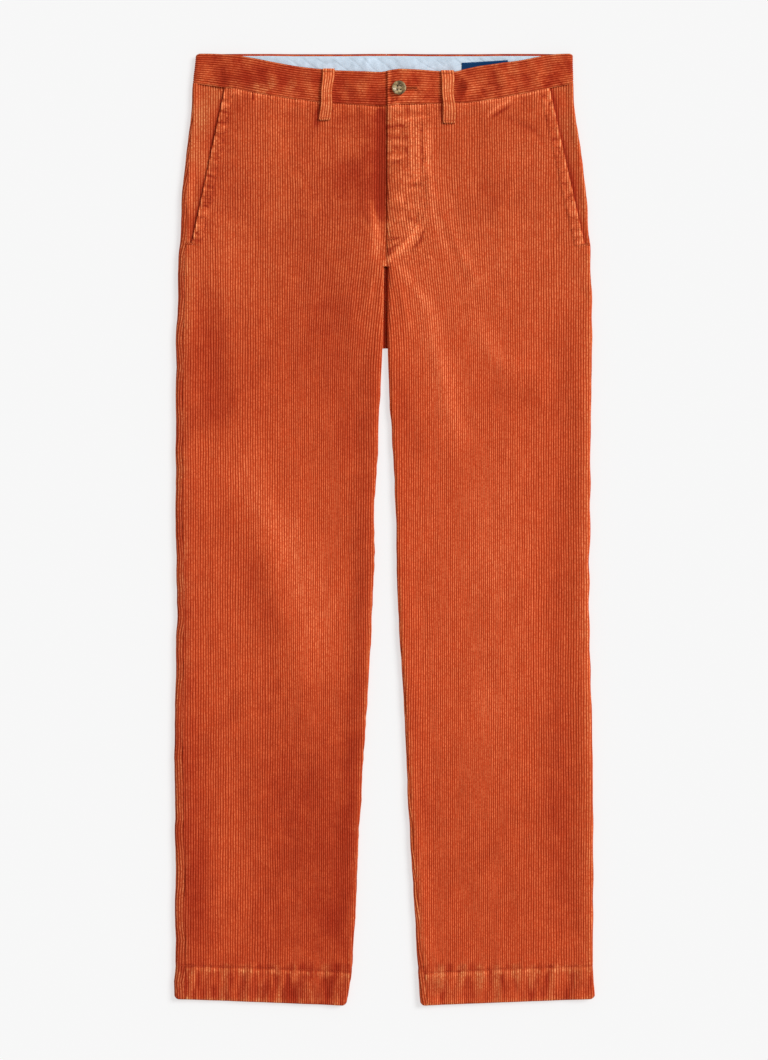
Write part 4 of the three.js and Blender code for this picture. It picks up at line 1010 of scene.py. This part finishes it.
def makeFacing(side):
    top = garment["waistY"] - float(frontSagSeam(curveAt(sideLine[side], 500.0))) - garment["seamGap"]
    endY = pockets[side]["end"][1]
    nominal = np.linspace(top, endY + 0.3, 60)
    leg = Leg(side, nominal, frontSagSeam, 0)
    mouth = mouthX(side, leg.rowY(mouthX(side, nominal)))
    low = leg.outerSeam + 0.15
    high = leg.tAt(mouth + leg.way * facingSettings["under"])
    reach = np.minimum(10, 0.7 * (leg.tAt(mouth) - low))
    first = leg.tAt(-leg.way * garment["reach"])
    fraction, step = cloth["pitch"] / cloth["across"], 8
    tOuter, outerColumns, tInner, innerColumns = panelColumns(first, low, high, fraction, step)

    def face(t, isOuter):
        x, y, z, outX, outZ = leg.at(t)
        count = (t - first[:, None]) / cloth["pitch"]
        z = z - facingSettings["drop"] * smooth((t - low[:, None]) / reach[:, None])
        z = z - 0.25 * np.exp(-((t - low[:, None]) / 1.5) ** 2)
        z = z + 0.12 * ripple(x, y, 18, 31, stretch=2) * smooth((t - low[:, None]) / 6)
        out = waleRise(count) * cloth["rise"] if isOuter else -cloth["wall"]
        fromMouth = (x - mouth[:, None]) * leg.way
        # Painted darker towards the pocket mouth, as the shadow under the front's edge, with a faint random variation;
        # the right facing a little darker away from its seam
        paintedLightAndTone = 0.25 * ripple(x, y, 30, 32, stretch=2.4) - 0.25 * smooth((fromMouth + 14) / 12) - 0.7 * smooth((fromMouth + 5) / 5)
        paintedLightAndTone = paintedLightAndTone - (0.3 if side == "right" else 0.0) * smooth((t - low[:, None] - 4) / 6)
        wearAndSheen = 0.45 + 0.2 * ripple(x, y, 26, 36, stretch=2)
        return stacked(x + outX * out, y, z + outZ * out), stacked(count, y, 0 * y), paintedLightAndTone, wearAndSheen

    outer, outerGrain, outerLightAndTone, outerWearAndHighlight = face(tOuter, True)
    inner, innerGrain, innerLightAndTone, innerWearAndHighlight = face(tInner, False)
    values = {"grain": (outerGrain, innerGrain), "lightAndTone": (outerLightAndTone, innerLightAndTone), "wearAndHighlight": (outerWearAndHighlight, innerWearAndHighlight)}
    points, values = joinFaces(outer, inner, values)
    piece = makeMesh("pocket_facing_" + side + "_cloth", points, wallTriangles(outerColumns, innerColumns, step), values)
    finishPiece(piece, "corduroy", corduroy, "pocket_facing_" + side)
    "back_panel_" + side
    return piece


for side in ("left", "right"):
    makeFacing(side)
print("trousers: pocket facings made")


bandSettings = {
    "wall": 2.4,
    "wales": 14.5,
    "across": 4,
    "radius": 3.65,
    "lap": 36.0,
    "end": 3.0,  # where its right end lies
    "edge": 1.25,  # radius of its folded edges
}
button = {"x": 16.3, "y": 496.4, "radius": 8.0, "thick": 3.2, "hole": 0.95, "holeAt": 1.75, "base": 12.3}
buttonhole = {"from": 16.3, "length": 20.0, "y": 496.4, "half": 0.4, "eye": 1.9}


# Height of the band's outer face at the front
def bandTop(side, x):
    lapped = plateau(x - garment["centreX"] - bandSettings["lap"] / 2, bandSettings["lap"] / 2 + 1, 24)
    return 2 * bandSettings["radius"] + (-0.8 if side == "left" else 1.9) * lapped


# Stations run from the front end of the band round the side fold to the centre behind; each has a
# place, an outward direction and its own top and bottom. A point lies between those by its share.
def makeBand(side):
    sideways = way[side]
    radius, centreX, waistY = bandSettings["radius"], garment["centreX"], garment["waistY"]
    tangentX = float(curveAt(sideLine[side], 515.0)) + sideways * radius
    start = centreX + bandSettings["lap"] if side == "left" else bandSettings["end"]
    frontX = np.linspace(start, tangentX, 96)
    if side == "right":
        frontX = np.concatenate([np.arange(start, 40, 0.65), np.linspace(40, tangentX, 80)])
    turn = np.radians(np.linspace(90, -90, 13))[1:-1]
    backX = np.linspace(tangentX, centreX - sideways * 0.15, 84)
    x = np.concatenate([frontX, tangentX - sideways * radius * np.cos(turn), backX])
    outX = np.concatenate([0 * frontX, -sideways * np.cos(turn), 0 * backX])
    outZ = np.concatenate([0 * frontX + 1, np.sin(turn), 0 * backX - 1])
    isFront = np.concatenate([0 * frontX + 1, smooth((np.sin(turn) + 0.2) / 0.6), 0 * backX])
    height = np.concatenate([bandTop(side, frontX), radius * (1 + np.sin(turn)), 0 * backX])
    sagTop = np.concatenate([frontSagTop(frontX), 0 * turn, 0 * backX])
    sagSeam = np.concatenate([frontSagSeam(frontX), backSag(x[len(frontX):len(frontX) + len(turn)]), backSag(backX)])
    run = np.concatenate([[0], np.cumsum(np.hypot(np.diff(x), np.diff(height)))])
    columns = int(bandSettings["wales"] * bandSettings["across"])
    step = 2
    columns += columns % 2

    def face(share, isOuter):
        share = share[None, :]
        y = waistY - sagTop[:, None] - share * (sagSeam - sagTop)[:, None]
        corner = np.clip(1 - (x - tangentX + sideways * radius)[:, None] * sideways / 4.5, 0, 1)
        y = y - 2.4 * (1 - np.sqrt(1 - corner**2)) * (1 - share) ** 6
        lean = curveAt(sideLine[side], y) - float(curveAt(sideLine[side], 515.0))
        px = x[:, None] + lean * plateau(x[:, None] - tangentX, 8, 60)
        count = share * bandSettings["wales"] + 0 * px
        deep = (sagSeam - sagTop)[:, None]
        fromEdge = np.minimum(share, 1 - share) * deep
        roll = edgeRoll(share * deep, bandSettings["edge"]) + edgeRoll((1 - share) * deep, 0.4)
        end = edgeRoll(np.abs(x[:, None] - start) + 100 * (1 - isFront[:, None]), bandSettings["edge"])
        ribs = (waleRise(count) - 1 + isFront[:, None]) * cloth["rise"]
        covered = smooth((px - centreX + 3) / 3) * isFront[:, None] if side == "left" else 0 * px
        ribs = ribs * (1 - covered)
        relief = np.zeros(px.shape)
        for line, width, rise in bandCreases:
            relief += stroke(px, y, line, width, rise)
        mottle = ripple(px, y, 15, 41, stretch=2.2)
        small = ripple(px, y, 6.5, 43, stretch=1.4)
        creased = crinkle(px, y, 26, 45, 1.6)
        relief += 0.12 * mottle + 0.06 * small + 0.12 * ripple(px, y, 42, 42) - 0.18 * creased * share
        slit = 0 * px
        if side == "right":
            along = np.clip(px, buttonhole["from"], buttonhole["from"] + buttonhole["length"])
            distance = np.hypot(px - along, y - buttonhole["y"])
            slit = smooth((buttonhole["half"] + 0.5 - distance) / 0.5)
            lip = np.exp(-((distance - 1.8) / 0.9) ** 2)
            relief += 0.35 * lip - 0.6 * slit
            ribs = ribs * smooth((distance - 1.2) / 1.5)
            relief -= 0.35 * np.exp(-(((px - start - 4.5) / 1.1) ** 2))
        relief = relief * isFront[:, None] * smooth(fromEdge / 2.5)
        relief = relief - 0.2 * isFront[:, None] * np.exp(-((fromEdge - 3.4) / 1.1) ** 2) * (share > 0.5)
        out = ribs - roll - end + relief if isOuter else roll + end - bandSettings["wall"]
        pz = height[:, None] + outZ[:, None] * out + bed(px, y)
        points = stacked(px + outX[:, None] * out, y, pz)
        grain = stacked(count, run[:, None] + 0 * px, 0 * px)
        busy = 1.0 if side == "right" else 0.8
        # The band's front takes the fronts' painted light and shade, the buttonhole's slit is painted darker as shade
        # in it, and the band gets a random mottling, both halves a little darker, the right one more
        paintedLightAndTone = paintedLightAt(px, y) * isFront[:, None] - 0.7 * slit - (0.35 if side == "right" else 0.15) + busy * (0.2 * mottle + 0.12 * small)
        # Its crinkles and creases are painted darker and its small ridges lighter, as light and shade
        paintedLightAndTone = paintedLightAndTone - 0.35 * busy * creased * share * isFront[:, None]
        for line, width, rise in bandCreases:
            paintedLightAndTone = paintedLightAndTone + stroke(px, y, line, 0.9 * width, 0.8 * busy * rise)
        # On the right half its end at the fly and the buttonhole's lips are painted lighter as highlights on their
        # rolled edges, and a crumpled spot below the button lighter with darker crinkles
        if side == "right":
            paintedLightAndTone = paintedLightAndTone + 0.9 * np.exp(-(((px - start - 1.6) / 1.8) ** 2)) + 0.8 * lip
            paintedLightAndTone = paintedLightAndTone + 0.7 * patch(px, y, 15, 482, 12, 6, 0, 1.0) * (1 + small - crinkle(px, y, 9, 46))
        upper = np.exp(-(((share * deep - 0.6) / 1.3) ** 2))
        lower = np.exp(-((((1 - share) * deep - 0.6) / 1.1) ** 2))
        paintedLightAndTone = paintedLightAndTone - 0.5 * (1 - isFront[:, None]) * upper
        wearAndSheen = (0.9 * upper + 0.5 * lower) * isFront[:, None] + 0.15 * (1 + mottle)
        if side == "left":
            wearAndSheen = wearAndSheen + patch(px, y, -150, 498, 55, 9, 0, 0.7) * (0.6 + 0.5 * mottle)
        near = patch(px, y, 12, 488, 16, 14, 0, 0.5) if side == "right" else 0
        crumpled = isFront[:, None] * (busy * (0.2 + 0.4 * share) + near)
        return points, {"grain": grain, "lightAndTone": paintedLightAndTone, "wearAndHighlight": wearAndSheen, "crumple": crumpled}

    share = np.linspace(0, 1, columns + 1)
    outer, above = face(share, True)
    inner, below = face(share[::step], False)
    points, values = joinFaces(outer, inner, {key: (above[key], below[key]) for key in above})
    numbers = np.broadcast_to(np.arange(columns + 1), (len(x), columns + 1))
    coarse = np.broadcast_to(np.arange(columns // step + 1), (len(x), columns // step + 1))
    piece = makeMesh("waistband_half_" + side, points, wallTriangles(numbers, coarse, step), values)
    finishPiece(piece, "corduroy", corduroy, "waistband_" + side)
    length = 0.462 if side == "left" else 0.425
    0.04 * length
    return piece


for side in ("left", "right"):
    makeBand(side)
print("trousers: waistband made")


loopSettings = {"wales": 5.0, "thick": 1.6, "backWidth": 12.6, "backLength": 54.0}
frontLoops = {  # x at the top, lean, width, length below the band's seam
    "left": (-63.0, -4.0, 13.2, 20.0),
    "right": (70.5, 3.0, 14.2, 23.0),
}


# A strap: across its width and down its length, with a wall below it. rest gives the height of what
# it lies on, arch how far it stands off, and the last argument the painted light and shade down its length.
def makeLoop(name, node, left, lean, width, top, bottom, restAt, archAt, lightAndTone):
    step, columns, rows = 4, 40, 56
    s = np.linspace(0, 1, rows)[:, None]
    y = top + (bottom - top) * s

    def face(across, isOuter):
        across = across[None, :]
        inset = 1.8 * (1 - np.sqrt(1 - np.clip(1 - (1 - s) * (top - bottom) / 2.4, 0, 1) ** 2))
        x = left + lean * s + (across - 0.5) * (width * (1 + 0.05 * np.sin(8 * s + 1)) - 2 * inset) + 0.5 * np.sin(11 * s)
        ends = np.minimum(s, 1 - s) * (top - bottom)
        edge = np.minimum(across, 1 - across) * width
        roll = edgeRoll(ends, 0.9) + edgeRoll(edge, 0.9)
        thick = loopSettings["thick"] + 0.5 * plateau(ends, 3.0, 1.5)
        count = across * loopSettings["wales"] + 0 * x
        pressed = 0.2 * np.exp(-((ends - 2.4) / 1.0) ** 2)
        edges = 0.2 * np.exp(-((edge - 1.9) / 0.6) ** 2)
        out = thick + waleRise(count) * cloth["rise"] * 0.8 - roll - pressed - edges if isOuter else roll * 0.6
        z = restAt(x, y) + archAt(s) + bed(x, y) + out
        wearAndSheen = 0.5 + 0.5 * np.exp(-(edge / 1.2) ** 2) + 0.5 * np.exp(-(ends / 1.5) ** 2)
        shade = 0.12 - 0.6 * np.exp(-((across / 0.13) ** 2)) - 0.25 * np.exp(-(((1 - across) / 0.08) ** 2))
        return stacked(x, y, z), stacked(count, y, 0 * x), lightAndTone(s) + shade + 0 * x, wearAndSheen

    share = np.linspace(0, 1, columns + 1)
    outer, outerGrain, outerLightAndTone, outerWearAndHighlight = face(share, True)
    inner, innerGrain, innerLightAndTone, innerWearAndHighlight = face(share[::step], False)
    values = {"grain": (outerGrain, innerGrain), "lightAndTone": (outerLightAndTone, innerLightAndTone), "wearAndHighlight": (outerWearAndHighlight, innerWearAndHighlight)}
    points, values = joinFaces(outer, inner, values)
    numbers = np.broadcast_to(np.arange(columns + 1), (rows, columns + 1))
    coarse = np.broadcast_to(np.arange(columns // step + 1), (rows, columns // step + 1))
    piece = makeMesh(name, points, wallTriangles(numbers, coarse, step), values)
    finishPiece(piece, "corduroy", corduroy, node)
    (top - bottom) * 0.001
    return piece


loopTops = {}
for side, (x, lean, width, tail) in frontLoops.items():
    top = garment["waistY"] - float(frontSagTop(x)) + 0.8
    seam = garment["waistY"] - float(frontSagSeam(x))
    bottom = seam - tail
    onPanel = float(curveAt(middleLine, seam)) + cloth["rise"] + float(ridges(x, seam)) + 0.3
    onBand = float(bandTop(side, x)) + cloth["rise"] + 0.3
    rest = lambda px, py: onPanel + (onBand - onPanel) * smooth((py - seam + 9) / 9)
    arch = lambda s: (1.2 * smooth((s - 0.05) / 0.14) * (1 - smooth((s - 0.7) / 0.22)) + 0.5 * np.exp(-((s - 0.8) / 0.07) ** 2))
    # Painted lighter along a loop, with a painted dark crease where it turns over the band's seam and painted shade
    # below it
    lightAndTone = lambda s: 0.65 - 0.8 * np.exp(-(((s - 0.6) / 0.03) ** 2)) - 0.35 * smooth((s - 0.64) / 0.2)
    loopTops[side] = (x, lean, width, top, bottom, rest, arch)
    makeLoop("belt_loop_strap_" + side, "belt_loop_front_" + side, x, lean, width, top, bottom, rest, arch, lightAndTone)
for name, x in zip(("left", "centre", "right"), backLoopX):
    top = garment["waistY"] - 0.8
    # It lies face down, so it is made upside down: its face points at the surface
    width, length = loopSettings["backWidth"], loopSettings["backLength"]
    s, across = np.linspace(0, 1, 40)[:, None], np.linspace(0, 1, 41)[None, :]
    px, py = x + (across - 0.5) * width + 0 * s, top - length * s + 0 * across
    ends, edge = np.minimum(s, 1 - s) * length, np.minimum(across, 1 - across) * width
    roll = 0.6 * edgeRoll(ends, 0.7) + 0.6 * edgeRoll(edge, 0.7)
    count = across * loopSettings["wales"] + 0 * s
    outer = stacked(px, py, (1 - waleRise(count)) * 0.45 + roll)
    inner = stacked(px, py, 1.55 - roll)[:, ::4]
    wearAndSheen = 0.8 * np.exp(-(edge / 1.2) ** 2) + 0.7 * np.exp(-(ends / 1.5) ** 2)
    values = {"grain": (stacked(count, py, 0 * py), stacked(count, py, 0 * py)[:, ::4]),
              "lightAndTone": (0 * py, 0 * py[:, ::4]), "wearAndHighlight": (wearAndSheen, wearAndSheen[:, ::4])}
    points, values = joinFaces(outer, inner, values)
    numbers = np.broadcast_to(np.arange(41), (40, 41))
    coarse = np.broadcast_to(np.arange(11), (40, 11))
    strap = makeMesh("belt_loop_strap_back_" + name, points, wallTriangles(numbers, coarse, 4), values)
    finishPiece(strap, "corduroy", corduroy, "belt_loop_back_" + name)
print("trousers: belt loops made")


# A flat plate of thin cloth with softly wavy height, its edges rounded by edgeRoll
def makePlate(name, node, slot, material, left, right, top, bottom, base, thick, wave, columns, rows, lean=0.0):
    x = np.linspace(left, right, columns + 1)[None, :]
    y = np.linspace(top, bottom, rows)[:, None]
    px, py = x + 0 * y, y + 0 * x
    edge = np.minimum(np.minimum(px - left, right - px), np.minimum(top - py, py - bottom))
    roll = edgeRoll(edge, thick / 2 - 0.02)
    rise = wave(px, py) * smooth(edge / 4)
    py = py + lean * (px - left)
    outer = stacked(px, py, base + thick + bed(px, py) + rise - roll)
    inner = stacked(px, py, base + bed(px, py) + roll)[:, ::4]
    # Painted light and shade: lighter where the cloth rises, darker in its hollows
    lightAndTone = 0.5 * rise
    values = {"lightAndTone": (lightAndTone, lightAndTone[:, ::4]), "edge": (np.exp(-(edge / 1.3) ** 2), np.exp(-(edge / 1.3) ** 2)[:, ::4])}
    points, values = joinFaces(outer, inner, values)
    numbers = np.broadcast_to(np.arange(columns + 1), (rows, columns + 1))
    coarse = np.broadcast_to(np.arange(columns // 4 + 1), (rows, columns // 4 + 1))
    piece = makeMesh(name, points, wallTriangles(numbers, coarse, 4), values)
    finishPiece(piece, slot, material, node)
    (right - left) * 0.001
    (top - bottom) * 0.001
    return piece


def liningWave(x, y):
    slant = x + 0.8 * y
    return 0.3 * np.abs(ripple(slant, y - 0.6 * x, 30, 51, stretch=0.8)) - 0.35 * crinkle(slant, y, 26, 54) + 0.1 * ripple(x, y, 8, 52)


makePlate("lining_cloth", "waistband_lining", "lining", shirting, garment["centreX"] - 196, garment["centreX"] + 196,
          garment["waistY"] - 2.6, garment["waistY"] - 32, 2.8, 0.7, liningWave, 240, 26)
makePlate("label_cloth", "plain_label", "label", labelCloth, 87, 139, 526, 504, 4.0, 0.5,
          lambda x, y: 0.05 * ripple(x, y, 20, 53), 64, 26, 0.05)
print("trousers: lining and label made")


# Rings from the middle of the top out over the rim to the middle of the underside. Height follows the
# profile, less a pit at each of the four holes: depth times a smooth step of the distance to it.
def makeButton():
    profile = np.array([(0.0, 0.56), (0.5, 0.60), (0.62, 0.72), (0.72, 0.92), (0.80, 1.0), (0.9, 1.0), (0.97, 0.88),
                        (1.0, 0.66), (0.99, 0.42), (0.93, 0.22), (0.82, 0.06), (0.72, 0.0), (0.0, 0.0)])
    corner = np.concatenate([[0], np.cumsum(np.hypot(np.diff(profile[:, 0] * button["radius"]),
                                                     np.diff(profile[:, 1] * button["thick"])))])
    place = np.concatenate([np.linspace(0, corner[1], 34), np.linspace(corner[1], corner[-2], 40)[1:],
                            np.linspace(corner[-2], corner[-1], 8)[1:]])
    r = np.interp(place, corner, profile[:, 0]) * button["radius"]
    h = np.interp(place, corner, profile[:, 1]) * button["thick"]
    around = 72
    angle = np.linspace(0, 2 * np.pi, around, endpoint=False)[None, :]
    x, y = r[:, None] * np.cos(angle), r[:, None] * np.sin(angle)
    pit = np.zeros(x.shape)
    for sx in (-1, 1):
        for sy in (-1, 1):
            distance = np.hypot(x - sx * button["holeAt"], y - sy * button["holeAt"])
            pit = np.maximum(pit, smooth((button["hole"] + 0.12 - distance) / 0.24))
    onTop = (place < corner[2])[:, None]
    pit = pit * onTop
    z = h[:, None] - 1.5 * pit
    points = stacked(button["x"] + x, button["y"] + y, button["base"] + z).reshape(-1, 3)
    index = np.arange(len(r) * around).reshape(len(r), around)
    index[0], index[-1] = index[0, 0], index[-1, 0]
    ring = np.concatenate([index, index[:, :1]], 1)
    a, b, c, d = ring[:-1, :-1], ring[1:, :-1], ring[1:, 1:], ring[:-1, 1:]
    triangles = np.concatenate([np.stack([p.ravel() for p in part], 1) for part in ((a, b, c), (a, c, d))])
    triangles = triangles[(triangles[:, 0] != triangles[:, 1]) & (triangles[:, 1] != triangles[:, 2])
                          & (triangles[:, 2] != triangles[:, 0])]
    piece = makeMesh("horn_button", points, triangles, {"pit": pit.ravel()})
    return finishPiece(piece, "button", horn, "button")


# A tube along each of many short paths at once. paths is paths x points x 3, and each ring is the
# path's point plus the radius times cos and sin on the two directions square to it.
def tubes(paths, radius, around=8, taper=0.35):
    number, length, _ = paths.shape
    along = np.gradient(paths, axis=1)
    along /= np.linalg.norm(along, axis=2, keepdims=True)
    side = np.cross(along, [0.0, 0.0, 1.0])
    side += 1e-6
    side /= np.linalg.norm(side, axis=2, keepdims=True)
    up = np.cross(side, along)
    angle = np.linspace(0, 2 * np.pi, around, endpoint=False)[None, None, :, None]
    place = np.linspace(0, 1, length)
    size = radius * (1 - (1 - taper) * np.abs(2 * place - 1) ** 4)[None, :, None, None]
    rings = paths[:, :, None] + size * (np.cos(angle) * side[:, :, None] + np.sin(angle) * up[:, :, None])
    points = np.concatenate([rings.reshape(number, -1, 3), paths[:, [0, -1]]], 1)
    each = length * around
    index = np.arange(each).reshape(length, around)
    index = np.concatenate([index, index[:, :1]], 1)
    a, b, c, d = index[:-1, :-1], index[1:, :-1], index[1:, 1:], index[:-1, 1:]
    parts = [np.stack([p.ravel() for p in part], 1) for part in ((a, b, c), (a, c, d))]
    first, last = index[0], index[-1]
    parts.append(np.stack([first[1:], first[:-1], np.full(around, each)], 1)[:, ::-1])
    parts.append(np.stack([last[:-1], last[1:], np.full(around, each + 1)], 1)[:, ::-1])
    one = np.concatenate(parts)
    triangles = (one[None] + np.arange(number)[:, None, None] * (each + 2)).reshape(-1, 3)
    grain = np.zeros((number, each + 2, 3))
    grain[:, :each, 0] = np.tile(np.arange(around) / around, length)
    grain[:, :each, 1] = np.repeat(place * length, around)
    return points.reshape(-1, 3), triangles, {"grain": grain.reshape(-1, 3)}


makeButton()


# The cross of thread in the button's holes: arcs from hole to hole, several strands to each
def makeButtonThread():
    s = np.linspace(0, 1, 9)[None, :]
    at = button["holeAt"]
    strands = []
    for k, (sx, sy) in enumerate(((1, 1), (-1, 1))):
        for shift in (-0.42, 0.0, 0.42):
            lateral = np.array([-sy, sx]) / math.sqrt(2) * shift
            x = button["x"] + sx * at * (2 * s - 1) + lateral[0]
            y = button["y"] + sy * at * (2 * s - 1) + lateral[1]
            z = button["base"] + button["thick"] * 0.56 + (0.2 + 0.35 * k) * np.sin(np.pi * s) - 0.5 * (2 * s - 1) ** 8
            strands.append(stacked(x, y, z))
    points, triangles, values = tubes(np.concatenate(strands), 0.26)
    piece = makeMesh("button_thread_cross", points, triangles, values)
    return finishPiece(piece, "thread", tanThread)


# The shank: thread wound round under the button, a helix of close turns about a core
def makeShank():
    low = float(bandTop("left", button["x"])) + float(bed(button["x"], button["y"])) + 0.3
    high = button["base"] - 0.3
    turns = 9
    s = np.linspace(0, 1, turns * 16 + 1)
    angle = 2 * np.pi * turns * s
    path = stacked(button["x"] + 1.15 * np.cos(angle), button["y"] + 1.15 * np.sin(angle), low + 0.3 + (high - low - 0.6) * s)
    points, triangles, values = tubes(path[None], 0.34, around=7, taper=1.0)
    core = np.stack([[button["x"], button["y"], z] for z in np.linspace(low, high, 5)])
    corePoints, coreTriangles, coreValues = tubes(core[None], 1.0, around=12, taper=1.0)
    triangles = np.concatenate([triangles, coreTriangles + len(points)])
    values = {key: np.concatenate([values[key], coreValues[key]]) for key in values}
    piece = makeMesh("button_shank_thread", np.concatenate([points, corePoints]), triangles, values)
    return finishPiece(piece, "thread", tanThread, "button_shank")


makeButtonThread()
makeShank()
print("trousers: button made")


stitchSettings = {"length": 2.5, "pitch": 3.1, "radius": 0.26}


# The height of the cloth at each place: that of the nearest point of a front's grid
def clothHeight(surface, x, y):
    found = np.empty(len(x))
    for start in range(0, len(x), 64):
        part = slice(start, start + 64)
        near = (x[part, None] - surface[None, :, 0]) ** 2 + (y[part, None] - surface[None, :, 1]) ** 2
        found[part] = surface[near.argmin(1), 2]
    return found


# Places every pitch along a line of points, and the direction of the line there
def placesOn(line, pitch):
    points = np.array(line, float)
    length = np.concatenate([[0], np.cumsum(np.hypot(*(points[1:] - points[:-1]).T))])
    at = np.arange(pitch / 2, length[-1], pitch)
    ahead = np.minimum(at + 0.5, length[-1])
    x, y = np.interp(at, length, points[:, 0]), np.interp(at, length, points[:, 1])
    dx, dy = np.interp(ahead, length, points[:, 0]) - x, np.interp(ahead, length, points[:, 1]) - y
    size = np.maximum(np.hypot(dx, dy), 1e-6)
    return x, y, dx / size, dy / size


# Stitches at these places, each a short arc that dips into the cloth at both ends
def stitchPaths(x, y, dx, dy, z, length):
    s = np.linspace(-0.5, 0.5, 5)[None, :]
    px, py = x[:, None] + dx[:, None] * s * length, y[:, None] + dy[:, None] * s * length
    return stacked(px, py, z[:, None] - 1.6 * s**2)


def sewRow(name, lines, surface, pitch=None, length=None, above=0.62, radius=None):
    paths = []
    for line in lines:
        x, y, dx, dy = placesOn(line, pitch or stitchSettings["pitch"])
        z = clothHeight(surface, x, y) + above
        paths.append(stitchPaths(x, y, dx, dy, z, length or stitchSettings["length"]))
    points, triangles, values = tubes(np.concatenate(paths), radius or stitchSettings["radius"], around=6)
    piece = makeMesh(name, points, triangles, values)
    return finishPiece(piece, "thread", rustThread)


# A bar tack: close stitches across a short line
def sewBar(name, bars, surface, above=0.75, wide=1.8, pitch=0.42, radius=0.24):
    paths = []
    for line in bars:
        x, y, dx, dy = placesOn(line, pitch)
        z = clothHeight(surface, x, y) + above
        paths.append(stitchPaths(x, y, -dy, dx, z, wide))
    points, triangles, values = tubes(np.concatenate(paths), radius, around=6)
    piece = makeMesh(name, points, triangles, values)
    return finishPiece(piece, "thread", rustThread)


def pocketLine(side, inset):
    (topX, topY), (endX, endY) = pockets[side]["top"], pockets[side]["end"]
    slant = math.hypot(topX - endX, topY - endY)
    normal = ((topY - endY) / slant * way[side], -(topX - endX) / slant * way[side])
    return [(topX + normal[0] * inset, topY + normal[1] * inset - 2), (endX + normal[0] * inset, endY + normal[1] * inset + 3)]


for side in ("left", "right"):
    surface = fronts[side][1]
    sewRow("pocket_stitches_" + side, [pocketLine(side, frontSettings["mouthStitch"])], surface)
    endX, endY = pockets[side]["end"]
    sewBar("pocket_tack_" + side, [[(endX - way[side] * 6, endY + 1), (endX + way[side] * 4, endY + 1)]], surface)
    sewRow("hem_stitches_" + side, [hemRows[side]], surface)
sewRow("fly_stitches", flyRows, fronts["right"][1])
sewBar("fly_tack", [[(3.5, 327), (12, 327.5)]], fronts["right"][1])


# Stitches at both ends of each of the two front belt loops
def sewLoops():
    paths = []
    for x, lean, width, top, bottom, rest, arch in loopTops.values():
        for s in (0.055, 0.945):
            across = np.arange(1.2 - width / 2, width / 2 - 1.1, 0.55)
            y = np.full(across.shape, top + (bottom - top) * s)
            px = x + lean * s + across
            z = rest(px, y) + arch(np.full(across.shape, s)) + bed(px, y) + 2.35
            paths.append(stitchPaths(px, y, 0 * px, 0 * px + 1, z, 1.9))
    points, triangles, values = tubes(np.concatenate(paths), 0.24, around=6)
    piece = makeMesh("belt_loop_tacks", points, triangles, values)
    return finishPiece(piece, "thread", rustThread)


# Buttonhole stitches stand square to the slit along its two sides and turn round its far end
def sewButtonhole():
    left, right, y = buttonhole["from"] + 8, buttonhole["from"] + buttonhole["length"], buttonhole["y"]
    run = np.arange(left, right, 0.55)
    turn = np.linspace(-np.pi / 2, np.pi / 2, 11)
    x = np.concatenate([run, run, right + 1.35 * np.cos(turn)])
    py = np.concatenate([0 * run + y + 1.35, 0 * run + y - 1.35, y + 1.35 * np.sin(turn)])
    dx = np.concatenate([0 * run, 0 * run, np.cos(turn)])
    dy = np.concatenate([0 * run + 1, 0 * run + 1, np.sin(turn)])
    z = bandTop("right", x) + bed(x, py) + 0.75
    points, triangles, values = tubes(stitchPaths(x, py, dx, dy, z, 2.0), 0.32, around=6)
    piece = makeMesh("buttonhole_stitches", points, triangles, values)
    return finishPiece(piece, "thread", rustThread)


sewLoops()
sewButtonhole()
print("trousers: stitches made")


studio = {
    "floor": (0.36, 0.36, 0.36, 1),
    "floorGlow": 0.60,
    "world": 0.44,
    "sun": 2.25,
    "sunSize": 26.0,  # degrees
    "sunFrom": (0.74, 0.42, 0.78),
    "lens": 100.0,
    "frameHeight": 1.1936,
    "aim": (-0.0006, -0.0006),
    "level": 0.007,
}


def makeFloor():
    mesh = bpy.data.meshes.new("floor")
    size = 6.0
    mesh.from_pydata([(-size, -size, -0.0004), (size, -size, -0.0004), (size, size, -0.0004), (-size, size, -0.0004)],
                     [], [(0, 1, 2, 3)])
    floor = bpy.data.objects.new("floor", mesh)
    bpy.context.scene.collection.objects.link(floor)
    maker = Maker("floor")
    fixed = {"Specular IOR Level": 0.0, "Emission Color": (1, 1, 1, 1), "Emission Strength": studio["floorGlow"]}
    mesh.materials.append(maker.finish(studio["floor"], 0.95, None, fixed))


def makeLight():
    world = bpy.data.worlds.new("studio")
    world.use_nodes = True
    world.node_tree.nodes["Background"].inputs["Color"].default_value = (1, 1, 1, 1)
    world.node_tree.nodes["Background"].inputs["Strength"].default_value = studio["world"]
    bpy.context.scene.world = world
    light = bpy.data.lights.new("sun", "SUN")
    light.energy = studio["sun"]
    light.angle = math.radians(studio["sunSize"])
    holder = bpy.data.objects.new("sun", light)
    x, y, z = studio["sunFrom"]
    holder.rotation_euler = (math.atan2(math.hypot(x, y), z), 0, math.atan2(y, x) + math.pi / 2)
    bpy.context.scene.collection.objects.link(holder)


def makeCamera():
    camera = bpy.data.cameras.new("camera")
    camera.lens = studio["lens"]
    camera.sensor_width = 36.0
    camera.sensor_fit = "AUTO"
    camera.clip_end = 50.0
    holder = bpy.data.objects.new("camera", camera)
    distance = studio["frameHeight"] * studio["lens"] / 36.0
    holder.location = (studio["aim"][0], studio["aim"][1], distance + studio["level"])
    bpy.context.scene.collection.objects.link(holder)
    bpy.context.scene.camera = holder


makeFloor()
makeLight()
makeCamera()
bpy.context.scene.view_settings.view_transform = "Standard"
print("trousers: floor, light and camera made")
